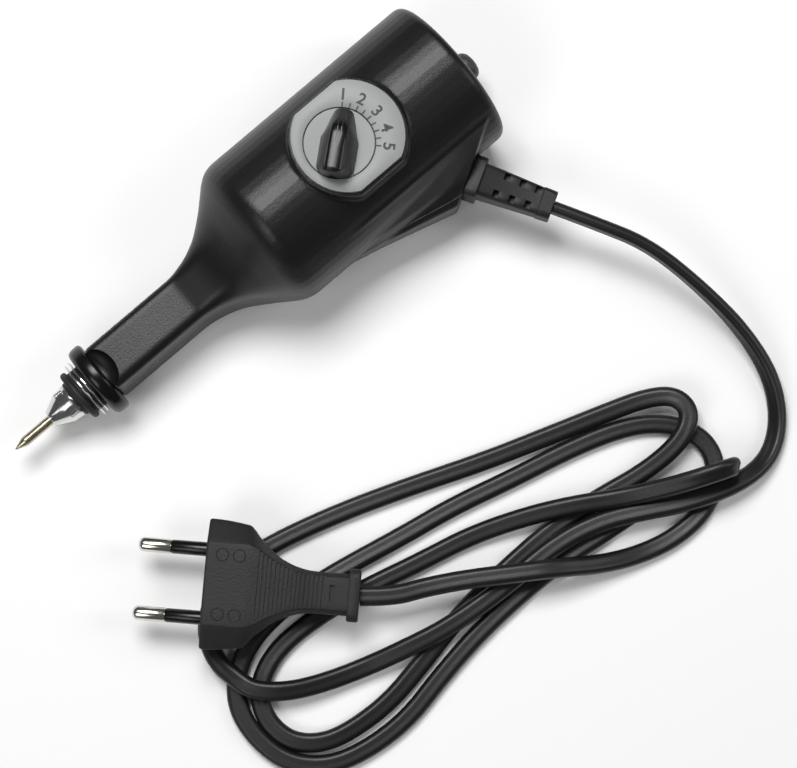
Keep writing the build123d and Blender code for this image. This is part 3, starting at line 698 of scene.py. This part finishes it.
@dataclass
class Lead:
    """The free mains lead: a flat two-core cord, 5.4 by 3.4 mm, end to end."""

    width: float = 5.4
    thickness: float = 3.4
    length: float = 1.22
    # number of a point of the route, and the turn of the section there in degrees
    turns: tuple[tuple[int, float], ...] = (
        (0, 90.0), (3, 88.0), (6, 40.0), (9, 8.0), (18, -10.0), (30, 6.0), (44, -8.0), (56, 10.0),
        (58, 30.0), (59, 30.0), (62, 6.0), (75, -6.0), (88, 8.0), (96, 0.0))
    # depth of the groove between the two cores, as a share of the thickness, and how wide it is
    waist_depth: float = 0.07
    waist_width: float = 0.8

    def spline(self, name: str) -> Piece:
        """The lead's line as one open spline, with its turn along the way."""
        data = bpy.data.curves.new(name, "CURVE")
        data.dimensions = "3D"
        data.resolution_u = 8
        data.twist_mode = "Z_UP"
        line = data.splines.new("NURBS")
        line.points.add(len(ROUTE) - 1)
        keys = self.turns
        for index, (point, place) in enumerate(zip(line.points, ROUTE)):
            point.co = (place[0] * MM, place[1] * MM, place[2] * MM, 1.0)
            after = next(i for i, key in enumerate(keys) if key[0] >= index)
            before = max(after - 1, 0)
            span = max(keys[after][0] - keys[before][0], 1)
            share = (index - keys[before][0]) / span
            point.tilt = math.radians(keys[before][1] + (keys[after][1] - keys[before][1]) * share)
        line.use_endpoint_u = True
        line.order_u = 3
        return linked(name, data)

    def section(self) -> Piece:
        """The cord's flat section with its rounded sides and faint waist between the cores."""
        clear()
        data = bpy.data.curves.new("cord_section", "CURVE")
        data.dimensions = "2D"
        outline = rounded_box(self.width / 2, self.thickness / 2, self.thickness / 2 - 0.05, 7, 2)
        line = data.splines.new("POLY")
        line.points.add(len(outline) - 1)
        for point, (x, y) in zip(line.points, outline):
            waist = 1.0 - self.waist_depth * math.exp(-((x / self.waist_width) ** 2))
            point.co = (x * MM, y * waist * MM, 0.0, 1.0)
        line.use_cyclic_u = True
        return linked("cord_section", data)

    def build(self, on_it: Sequence[Piece]) -> Piece:
        """Args:
            on_it: the pieces at its far end; not used.

        Returns:
            The lead.
        """
        line = self.spline("power_cord_line")
        bpy.context.view_layer.update()
        sampled = bpy.data.meshes.new_from_object(line)
        shape = self.section()
        line.data.bevel_mode = "OBJECT"
        line.data.bevel_object = shape
        line.data.use_fill_caps = True
        only(line)
        bpy.ops.object.convert(target="MESH")
        lead = bpy.context.object
        lead.name = "power_cord_lead"
        bpy.data.objects.remove(shape)
        with editing(lead):
            bpy.ops.mesh.select_all(action="SELECT")
            bpy.ops.mesh.remove_doubles(threshold=0.00001)
            bpy.ops.mesh.normals_make_consistent(inside=False)
        lead.data.transform(Matrix.Scale(1.0 / MM, 4))
        finish_piece(lead, Body.CASE, PVC, ["power_cord"], 60.0)
        return lead


@dataclass
class FlatPlug:
    """The flat two-pin plug on the lead's end."""

    face: Triple = (-105.5, -62.0, 12.0)
    along: Triple = (0.701, -0.713, 0.0)
    # distance from the face, half widths of the plug and of its panel, half heights of panel and sides
    stations: tuple[tuple[float, ...], ...] = (
        (0.0, 17.3, 10.7, 6.4, 2.9), (0.5, 17.65, 11.0, 6.7, 3.0), (11.2, 16.6, 11.0, 6.7, 2.9),
        (13.6, 13.9, 10.4, 6.5, 2.9), (16.3, 11.4, 8.9, 6.3, 2.9), (19.0, 9.1, 7.4, 6.1, 2.9),
        (22.0, 7.5, 6.1, 5.9, 3.3), (25.0, 6.4, 5.2, 5.6, 3.2), (28.5, 5.75, 4.6, 5.0, 3.0),
        (32.5, 5.6, 4.4, 4.8, 2.9), (39.4, 5.7, 4.4, 4.7, 2.9))
    groove_span: tuple[float, float] = (14.6, 32.0)
    grooves: int = 16
    pin_gap: float = 18.6
    flange: Triple = (14.4, 10.4, 2.6)
    # station and scale along the end flange
    flange_rise: Line = ((38.9, 0.96), (39.3, 1.0), (41.6, 1.0), (42.0, 0.95))
    edge_round: float = 0.7
    gate: Triple = (1.3, 4.4, 1.8)
    gate_at: tuple[float, float] = (34.6, 4.9)
    ring_stations: tuple[float, ...] = (4.5, 9.1)
    ring_reach: float = 8.0
    ring_height: float = 6.68
    sleeve: Line = ((-0.2, 1.6), (-0.2, 1.94), (9.7, 1.9), (10.0, 1.7), (10.0, 1.6))
    pin: Line = ((0.2, 0.0), (0.2, 1.58), (9.98, 1.58), (10.1, 1.9), (10.3, 2.0), (17.6, 2.0), (18.2, 1.8),
                 (18.7, 1.35), (18.95, 0.7), (19.0, 0.0))

    def frame(self) -> tuple[Vector, Vector, Vector, Vector]:
        """Face centre, axis, level direction along the pins' row, and up."""
        along = Vector(self.along).normalized()
        return Vector(self.face), along, Vector((-along.y, along.x, 0.0)), Z_AXIS

    def ring(self, values: Sequence[float], station: float) -> Section:
        """The eight-sided section at a station."""
        origin, along, level, up = self.frame()
        wide, panel, high, side = values
        corners = [(wide, -side), (wide, side), (panel, high), (-panel, high), (-wide, side),
                   (-wide, -side), (-panel, -high), (panel, -high)]
        per_edge = 4
        points = []
        for (ax, ay), (bx, by) in zip(corners, corners[1:] + corners[:1]):
            for share in (step / per_edge for step in range(per_edge)):
                across, rise = ax + (bx - ax) * share, ay + (by - ay) * share
                points.append(origin + along * station + level * across + up * rise)
        return points

    def rings(self) -> list[Piece]:
        """Four plain raised rings on the plug's panel."""
        origin, along, level, up = self.frame()
        made = []
        for station in self.ring_stations:
            for side in (-self.ring_reach, self.ring_reach):
                clear()
                bpy.ops.mesh.primitive_torus_add(major_radius=1.65, minor_radius=0.17, major_segments=32,
                                                 minor_segments=8)
                ring = bpy.context.object
                centre = origin + along * station + level * side + up * self.ring_height
                ring.data.transform(Matrix.Translation(centre))
                made.append(ring)
        return made

    def build(self) -> list[Piece]:
        """Makes the plug's moulding and sleeves, and dresses its pins."""
        origin, along, level, up = self.frame()
        basis = Matrix((along, level, up)).transposed()
        cuts = [0.0, 0.5] + [0.5 + 1.2 * step for step in range(1, 33)] + [39.4]
        body = lofted("plug_moulding", [self.ring(eased(self.stations, cut), cut) for cut in cuts])
        soften(body, self.edge_round, 3, 24.0)
        first, last = self.groove_span
        pitch = (last - first) / (self.grooves - 1)
        for number in range(self.grooves):
            station = first + pitch * number
            wide, panel, high, side = eased(self.stations, station)
            for face in (-1, 1):
                carve(body, block("groove", (pitch * 0.46, 2 * panel - 0.5, 1.0),
                                  origin + along * station + up * face * (high + 0.06), basis))
        at, rise = self.gate_at
        carve(body, block("gate_mark", self.gate, origin + along * at + up * rise, basis))
        width, height, corner = self.flange
        rim = rounded_box(width / 2, height / 2, corner)
        flange = lofted("plug_flange", [[origin + along * s + level * y * k + up * z * k for y, z in rim]
                                        for s, k in self.flange_rise])
        combine(body, flange, "UNION")
        body = joined("plug_moulding", body, *self.rings())
        finish_piece(body, Body.CASE, PLUG, ["plug_body"], 35.0)
        sleeves, pins = [], []
        for side in (-1, 1):
            at = origin + level * side * self.pin_gap / 2
            sleeves.append(turned(f"sleeve_{side}", self.sleeve, at, -along, True, 40))
            pins.append(turned(f"pin_{side}", self.pin, at, -along, False, 40))
        return [body,
                finish_piece(joined("pin_insulation", *sleeves), Body.CASE, GLOSS, ["pin_sleeves"]),
                finish_piece(joined("contact_pins", *pins), Body.CASE, NICKEL, ["plug_pins"], 30.0)]


# ------------------------------------------------------------------ casing
@dataclass
class Casing:
    """Two moulded halves: finger barrel, flare, fat drum, dial boss and cable wing."""

    wall: float = 2.0
    scoop_at: Triple = (-89.4, 0.0, 21.9)
    scoop_size: Triple = (4.6, 6.4, 3.6)
    # radii of the bores: dial spindle, button, nose guide, cord
    bores: tuple[float, ...] = (2.6, 4.4, 5.05, 4.05)
    recess: Triple = (5.0, 12.1, 11.3)
    smoothing: int = 3
    rear_x: float = 37.0
    rim: float = 2.4
    voxel: float = 0.5
    seam: float = 0.1
    # station, width, height, corner radius, lowest z
    stations: tuple[tuple[float, ...], ...] = (
        (-89.4, 14.2, 20.4, 2.4, 0.8), (-60.0, 14.2, 20.4, 2.4, 0.8), (-54.5, 16.0, 22.0, 3.4, 0.7),
        (-49.0, 20.0, 25.0, 5.4, 0.5), (-42.0, 29.6, 32.0, 10.4, 0.0), (-38.0, 37.0, 38.0, 16.0, -0.3),
        (-35.5, 41.4, 41.8, 19.2, -0.5), (-33.0, 44.2, 44.2, 21.5, -0.6), (-30.5, 45.2, 45.2, 22.5, -0.7))
    # where the wing's sections shrink to for the hollow, and by how much for each millimetre of wall
    wing_core: tuple[float, float] = (-14.0, 20.0)
    wing_shrink: float = 0.09
    # station, outermost y, lowest z of the wing's side
    wing_edge: tuple[Triple, ...] = (
        (-22.0, -21.5, 17.0), (-8.0, -24.2, 13.4), (13.4, -29.4, 9.3), (36.0, -34.9, 8.4))
    # radius, half width between the flats, top
    boss: Triple = (16.0, 14.3, 45.2)
    screws: tuple[tuple[float, float], ...] = ((-26.0, -13.0), (-26.0, 13.0), (26.0, -13.0), (26.0, 13.0))

    def ring(self, x: float, inset: float, floor: float) -> Section:
        """The outer section at a station, made smaller all round by an inset."""
        width, height, corner, low = eased(self.stations, x)
        outline = rounded_box(width / 2 - inset, height / 2 - inset, max(corner - inset, 0.6), 14, 6)
        centre = low + height / 2
        return [Vector((x, y, max(centre + z, floor))) for y, z in outline]

    def skin(self, name: str, inset: float) -> Piece:
        """The barrel, flare and drum as one skin, down to a flat underside."""
        front = self.stations[0][0] + (5.4 if inset else 0.0)
        rear = self.rear_x - inset
        cuts = [(front, 0.5), (front + 0.3, 0.15), (front + 0.8, 0.0)]
        x = front + 4.0
        while x < -30.0:
            cuts.append((x, 0.0))
            x += 3.0 if x < -63.0 else 1.25
        cuts += [(-28.0 + 7.5 * step, 0.0) for step in range(9)]
        for step in range(8):
            turn = math.pi / 2 * step / 7
            cuts.append((rear - self.rim + self.rim * math.sin(turn), self.rim * (1 - math.cos(turn))))
        return lofted(name, [[Vector((at, p.y, p.z)) for p in self.ring(min(at, 30.0), inset + shrink, inset)]
                             for at, shrink in cuts])

    def wing(self, inset: float) -> Piece:
        """The cable wing: a ridge along the drum, a hollowed flank under it and a slanting rear face."""
        sections = []
        for x, edge, low in self.wing_edge:
            out = max(-21.0 - edge, 0.0) / 14.0
            outline = [(-18.9, 33.9 + 1.1 * min(out * 4, 1.0)), (-20.5 - out, 30.6),
                       (-21.5 - 5.5 * out, 25.6 - 1.6 * out), (edge, 21.0 - 1.5 * out), (edge, low + 1.0),
                       (edge + 2.0, low - 0.6), (-14.0, low - 1.5), (-10.0, 30.0)]
            core_y, core_z = self.wing_core
            scale = 1.0 - self.wing_shrink * inset
            sections.append([Vector((x, core_y + (y - core_y) * scale, core_z + (z - core_z) * scale))
                             for y, z in outline])
        wedge = lofted("wing", sections)
        way = Vector(ENTRY_WAY)
        return trim(wedge, Vector(ENTRY) - way * inset, way)

    def boss_block(self, grow: float, low: float, high: float) -> Piece:
        """The round pad under the dial plate, with its two flats."""
        radius, flat, _ = self.boss
        pad = turned("boss", ((low, 0.0), (low, radius + grow), (high, radius + grow), (high, 0.0)),
                     ORIGIN, Z_AXIS, False, 96)
        for side in (-1, 1):
            trim(pad, Vector((0.0, side * (flat + grow), 0.0)), Vector((0.0, side, 0.0)))
        return pad

    def drill(self, at: Vector, along: Vector, radius: float, depth: float, around: int = 48) -> Piece:
        """A round cutter centred on a point."""
        half = depth / 2
        return turned("drill", ((-half, 0.0), (-half, radius), (half, radius), (half, 0.0)), at, along, False,
                      around)

    def parting(self, lift: float, reach: float) -> Piece:
        """Everything above or below the stepped parting surface."""
        line = [(-130.0, NOSE_Z), (-60.0, NOSE_Z), (-38.0, BODY_Z), (80.0, BODY_Z)]
        outline = [(x, z + lift) for x, z in line] + [(80.0, reach), (-130.0, reach)]
        return lofted("parting", [[Vector((x, y, z)) for x, z in outline] for y in (-90.0, 90.0)])

    def scoop(self) -> Piece:
        """The thumb-shaped hollow where the barrel's top meets the nose collar."""
        clear()
        bpy.ops.mesh.primitive_uv_sphere_add(segments=48, ring_count=24, radius=1.0)
        tool = bpy.context.object
        tool.data.transform(Matrix.Translation(self.scoop_at) @ Matrix.Diagonal((*self.scoop_size, 1.0)))
        return tool

    def build(self) -> None:
        """Makes both halves."""
        blank = joined("casing_blank", self.skin("casing_skin", 0.0), self.wing(0.0),
                       self.boss_block(0.0, 30.0, self.boss[2]))
        modify(blank, "REMESH", mode="VOXEL", voxel_size=self.voxel)
        modify(blank, "SMOOTH", factor=0.5, iterations=self.smoothing)
        entry, way = Vector(ENTRY), Vector(ENTRY_WAY)
        turn = Matrix((way, Vector((-way.y, way.x, 0.0)), Z_AXIS)).transposed()
        spindle, button, guide, cord = self.bores
        carve(blank, self.skin("hollow", self.wall), self.wing(self.wall),
              self.boss_block(-2.5, 30.0, self.boss[2] - 2.0),
              self.drill(Vector((-3.0, 0.0, 44.0)), Z_AXIS, spindle, 10.0),
              self.drill(Vector((self.rear_x, 0.0, 12.0)), X_AXIS, button, 12.0),
              self.drill(Vector((-87.0, 0.0, NOSE_Z)), X_AXIS, guide, 12.0),
              self.drill(entry, way, cord, 12.0), block("recess", self.recess, entry + way * 2.55, turn),
              self.scoop())
        for x, y in self.screws:
            combine(blank, self.drill(Vector((x, y, 21.1)), Z_AXIS, 3.0, 29.8, 32), "UNION")
            carve(blank, self.drill(Vector((x, y, 2.0)), Z_AXIS, 2.45, 8.0, 32),
                  self.drill(Vector((x, y, 18.0)), Z_AXIS, 1.3, 28.0, 24))
        for name, lift, reach, node in (("casing_top", self.seam, 90.0, "upper_casing"),
                                        ("casing_base", -self.seam, -90.0, "lower_casing")):
            half = linked(name, blank.data.copy())
            combine(half, self.parting(lift, reach), "INTERSECT")
            finish_piece(half, Body.CASE, CASING, [node], 38.0)
        bpy.data.objects.remove(blank)


@dataclass
class Nose:
    """Collar, rubber ring and washers in front of the barrel, with the chuck and its tip."""

    collar: Line = (
        (-94.0, 4.02), (-94.0, 8.4), (-93.9, 9.5), (-93.5, 10.3), (-92.8, 10.75), (-91.8, 10.9),
        (-90.4, 10.9), (-89.8, 10.7), (-89.45, 10.2), (-89.4, 9.6), (-89.4, 5.0), (-84.8, 5.0),
        (-84.8, 4.02))
    seal: Line = (
        (-100.3, 4.02), (-100.3, 5.1), (-100.1, 5.3), (-99.3, 5.4), (-99.3, 6.9), (-99.05, 7.4), (-98.5, 7.6),
        (-98.1, 7.6), (-97.6, 7.4), (-97.4, 6.9), (-97.4, 4.02))
    washers: tuple[float, ...] = (-96.5, -95.2)
    washer_r: float = 8.7
    washer_thickness: float = 0.5
    bore: float = 4.02
    tip: Line = (
        (-121.3, 0.0), (-121.2, 0.12), (-120.6, 0.42), (-117.9, 1.4), (-117.5, 1.41), (-92.4, 1.41),
        (-92.1, 1.2), (-92.1, 0.0))
    jaw: Line = (
        (-108.6, 1.45), (-108.6, 2.3), (-108.4, 2.5), (-104.0, 4.75), (-103.6, 4.9), (-101.6, 4.95),
        (-101.3, 5.2), (-100.5, 5.2), (-100.5, 1.45))
    # name, size, station, distance from the axis, first angle in degrees
    jaw_cuts: tuple[tuple[str, Triple, float, float, float], ...] = (
        ("slot", (2.4, 1.5, 1.6), -102.6, 5.1, 45.0), ("split", (6.0, 0.35, 3.0), -106.6, 3.4, 0.0))

    def ring(self, name: str, profile: Line) -> Piece:
        """A turned ring about the nose axis."""
        return turned(name, profile, NOSE_AXIS, X_AXIS, True, 96)

    def build(self) -> None:
        """Makes the nose pieces."""
        finish_piece(self.ring("barrel_collar", self.collar), Body.CASE, GLOSS, ["nose_collar"], 45.0)
        finish_piece(self.ring("buffer_ring", self.seal), Body.CASE, RUBBER, ["nose_seal"], 50.0)
        pair = []
        for number, x in enumerate(self.washers):
            rear = x + self.washer_thickness
            profile = ((x, self.bore), (x, self.washer_r), (rear, self.washer_r), (rear, self.bore))
            pair.append(soften(self.ring(f"washer_{number}", profile), 0.12, 3, 25.0))
        finish_piece(joined("bright_washers", *pair), Body.CASE, CHROME, ["nose_washers"])
        self.chuck()
        point = turned("scribing_point", self.tip, NOSE_AXIS, X_AXIS, False, 48)
        finish_piece(point, Body.PLUNGER, TIP_STEEL, ["engraving_tip"], 25.0)

    def chuck(self) -> None:
        """The bright jaw chuck: a cone, then a slotted barrel and a stepped hub."""
        jaw = self.ring("jaw_chuck", self.jaw)
        for number in range(4):
            for name, size, station, reach, first in self.jaw_cuts:
                turn = Matrix.Rotation(math.radians(90.0 * number + first), 3, X_AXIS)
                carve(jaw, block(name, size, turn @ Vector((station, 0.0, reach)) + NOSE_AXIS, turn))
        finish_piece(soften(jaw, 0.1, 1, 35.0), Body.PLUNGER, CHROME, ["tip_chuck"], 30.0)


@dataclass
class Dial:
    """Grey plate with its printed scale, the turning disc and the black pointer knob."""

    axis_x: float = -3.0
    plate_r: float = 15.0
    flat: float = 13.3
    low: float = 45.2
    top: float = 46.6
    disc_r: float = 9.4
    ring_gap: float = 0.28
    # the knob's turn as the model is packed, in degrees
    rest: float = 40.0
    tick_r: float = 10.35
    tick: Triple = (1.4, 0.42, 0.05)
    number_r: float = 12.95
    number_size: float = 4.4
    # the printed scale runs clockwise from the first number, in degrees
    scale_start: float = 45.0
    number_step: float = 22.5
    # along the pointer: base half width, crest half width, height
    knob: tuple[tuple[float, ...], ...] = (
        (-9.5, 1.2, 1.0, 8.2), (-9.35, 2.4, 1.9, 8.6), (-9.0, 3.4, 2.3, 8.8), (-8.3, 4.3, 2.35, 8.8),
        (-7.2, 5.0, 2.35, 8.8), (-3.0, 5.05, 2.3, 8.8), (0.5, 5.05, 2.3, 8.75), (2.4, 4.35, 2.2, 8.5),
        (3.4, 4.0, 2.1, 7.9), (5.6, 3.4, 1.7, 5.9), (8.2, 2.55, 1.2, 3.6), (8.7, 2.2, 1.0, 3.2))

    def plate(self) -> None:
        """The fixed plate, with its two flats and the round window of the disc."""
        pad = turned("dial_face", ((self.low, 0.0), (self.low, self.plate_r), (self.top, self.plate_r),
                                   (self.top, 0.0)), ORIGIN, Z_AXIS, False, 128)
        for side in (-1, 1):
            trim(pad, Vector((0.0, side * self.flat, 0.0)), Vector((0.0, side, 0.0)))
        window = self.disc_r + self.ring_gap
        carve(pad, turned("hole", ((40.0, 0.0), (40.0, window), (50.0, window), (50.0, 0.0)),
                          Vector((self.axis_x, 0.0, 0.0)), Z_AXIS, False, 96))
        finish_piece(soften(pad, 0.22, 2, 40.0), Body.CASE, DIAL_GREY, ["dial_plate"], 30.0)

    def scale(self) -> None:
        """Nine ticks and the numbers 1 to 5, printed on the plate."""
        marks = []
        centre, up = Vector((self.axis_x, 0.0, 0.0)), Vector((0.0, 0.0, self.top))
        for number in range(9):
            turn = Matrix.Rotation(math.radians(self.scale_start - self.number_step / 2 * number), 3, "Z")
            at = centre + turn @ Vector((self.tick_r, 0.0, 0.0)) + up
            marks.append(block(f"tick_{number}", self.tick, at, turn))
        for number in range(5):
            clear()
            bpy.ops.object.text_add()
            label = bpy.context.object
            label.data.body = str(number + 1)
            label.data.size = self.number_size
            label.data.align_x = "CENTER"
            label.data.align_y = "CENTER"
            label.data.extrude = 0.025
            label.data.offset = 0.10
            bpy.ops.object.convert(target="MESH")
            angle = math.radians(self.scale_start - self.number_step * number)
            spin = Matrix.Rotation(angle - math.pi / 2, 4, "Z")
            reach = Vector((math.cos(angle), math.sin(angle), 0.0)) * self.number_r
            label.data.transform(Matrix.Translation(centre + up) @ Matrix.Translation(reach) @ spin)
            marks.append(label)
        finish_piece(joined("dial_scale", *marks), Body.CASE, INK, (), 30.0)

    def disc(self) -> None:
        """The turning disc, flush in its window."""
        low, rim, top = self.low + 0.2, self.top - 0.2, self.top - 0.05
        disc = turned("dial_rotor", ((low, 0.0), (low, self.disc_r), (rim, self.disc_r),
                                     (top, self.disc_r - 0.15), (top, 0.0)),
                      Vector((self.axis_x, 0.0, 0.0)), Z_AXIS, False, 96)
        finish_piece(disc, Body.DIAL, DIAL_GREY, ["dial_disc"], 30.0)

    def pointer(self) -> None:
        """The black bar knob with its sloping nose and engraved pointer."""
        turn = Matrix.Rotation(math.radians(self.rest), 3, "Z")
        base = Vector((self.axis_x, 0.0, self.top - 0.05))
        sections = []
        for x, wide, crest, high in self.knob:
            half = [(wide, 0.0), (wide * 0.985, high * 0.12), (wide + (crest - wide) * 0.42, high * 0.5),
                    (crest + (wide - crest) * 0.16, high * 0.84), (crest * 0.93, high * 0.965),
                    (crest * 0.62, high), (0.0, high)]
            outline = half + [(-y, z) for y, z in reversed(half[:-1])]
            sections.append([base + turn @ Vector((x, y, z)) for y, z in outline])
        knob = lofted("pointer_knob", sections)
        soften(knob, 0.25, 2, 38.0)
        for side in (-1, 1):
            flat = turn @ Matrix.Rotation(math.radians(side * 3.0), 3, "Z")
            steep = flat @ Matrix.Rotation(math.radians(41.0), 3, "Y")
            crest_at, nose_at = Vector((1.0, side * 0.45, 9.0)), Vector((6.0, side * 0.72, 6.0))
            carve(knob, block("engraving", (4.4, 0.3, 1.2), base + turn @ crest_at, flat),
                  block("engraving", (8.6, 0.3, 1.0), base + turn @ nose_at, steep))
        finish_piece(knob, Body.DIAL, GLOSS, ["dial_knob"], 38.0)

    def build(self) -> None:
        """Makes the dial."""
        self.plate()
        self.scale()
        self.disc()
        self.pointer()


@dataclass
class PushButton:
    """The domed rear button."""

    profile: tuple[tuple[float, float], ...] = (
        (30.2, 0.0), (30.2, 1.2), (33.2, 1.2), (33.2, 5.4), (34.8, 5.4), (34.8, 4.2), (42.6, 4.2),
        (43.3, 4.1), (44.0, 3.7), (44.6, 2.9), (44.9, 1.9), (45.0, 0.8), (45.0, 0.0))
    height: float = 12.0

    def build(self) -> None:
        """Makes the button."""
        cap = turned("push_cap", self.profile, Vector((0.0, 0.0, self.height)), X_AXIS)
        finish_piece(cap, Body.BUTTON, BUTTON_GREY, ["power_button"], 40.0)


@dataclass
class StrainRelief:
    """The moulded cord guard: a collar, a tapered slotted sleeve and a solid end ring."""

    # distance, half width, half height, corner radius
    stations: tuple[tuple[float, float, float, float], ...] = (
        (0.0, 5.8, 5.3, 1.6), (0.3, 5.95, 5.5, 1.8), (3.3, 5.95, 5.5, 1.8), (3.6, 5.7, 5.25, 1.7),
        (3.62, 4.75, 4.35, 1.5), (20.0, 4.05, 3.65, 1.5), (20.6, 4.05, 3.65, 1.5), (20.8, 4.2, 3.8, 1.6),
        (24.2, 4.1, 3.7, 1.6), (24.5, 3.85, 3.45, 1.5))
    rows: int = 3
    first_row: float = 8.5
    row_pitch: float = 4.6
    # how much further out the pockets of one side sit
    stagger: float = 1.4
    pocket: Triple = (1.6, 2.1, 8.0)

    def build(self) -> None:
        """Makes the guard."""
        origin, along = Vector(ENTRY), Vector(ENTRY_WAY).normalized()
        level, up = Vector((-along.y, along.x, 0.0)), Z_AXIS
        basis = Matrix((along, level, up)).transposed()

        def section(s: float, outline: Line) -> Section:
            """An outline across the guard at a distance."""
            return [origin + along * s + level * y + up * z for y, z in outline]

        guard = lofted("cord_guard", [section(s, rounded_box(w, h, c, 8, 3)) for s, w, h, c in self.stations])
        neck = turned("neck", ((-6.0, 0.0), (-6.0, 3.9), (0.5, 3.9), (0.5, 0.0)), origin, along, False, 40)
        tail = lofted("tail", [section(s, rounded_box(5.3, 5.3, 2.0, 6, 2)) for s in (-5.2, -3.4)])
        combine(guard, neck, "UNION")
        combine(guard, tail, "UNION")
        for row in range(self.rows):
            for side in (-1, 1):
                station = self.first_row + self.row_pitch * row + (self.stagger if side > 0 else 0.0)
                for face in (-1, 1):
                    at = origin + along * station + level * side * (2.75 - 0.15 * row) + up * face * 5.5
                    carve(guard, block("pocket", self.pocket, at, basis))
        finish_piece(soften(guard, 0.18, 2, 40.0), Body.CASE, RELIEF, ["strain_relief"], 35.0)


@dataclass
class Works:
    """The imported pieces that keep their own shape, and their finishes."""

    finishes: tuple[tuple[Finish, tuple[str, ...]], ...] = (
        (STEEL, ("nose_sleeve", "drive_shaft", "armature_plate", "armature_nut", "stroke_arm", "spring_seat",
                 "return_spring", "core_brackets", "bracket_screws", "casing_screws", "dial_circlip",
                 "button_spring")),
        (RUBBER, ("damping_rings",)), (BRONZE, ("shaft_bush", "friction_washer")),
        (NYLON, ("coil_bobbin", "stroke_cam", "cord_clamp")), (LAMINATIONS, ("magnet_core",)),
        (WINDING, ("coil_winding",)), (SWITCH, ("switch_housing",)), (BRASS, ("switch_terminals",)),
        (PVC, ("cord_stub",)), (BROWN, ("supply_leads",)), (BLUE, ("coil_leads",)))

    def build(self) -> None:
        """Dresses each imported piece."""
        for finish, names in self.finishes:
            for name in names:
                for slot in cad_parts[name].material_slots:
                    slot.material = material_of(finish)
                LOG.info("%s dressed in %s", name, finish.name)


def main() -> None:
    """Builds the studio and every sub-assembly."""
    logging.basicConfig(level=logging.INFO, format="%(message)s")
    studio = Studio()
    studio.camera()
    plug = FlatPlug().build()
    Lead().build(plug)
    StrainRelief().build()
    Casing().build()
    Nose().build()
    Dial().build()
    PushButton().build()
    Works().build()
    studio.build()
    clear()


if __name__ == "__main__":
    main()
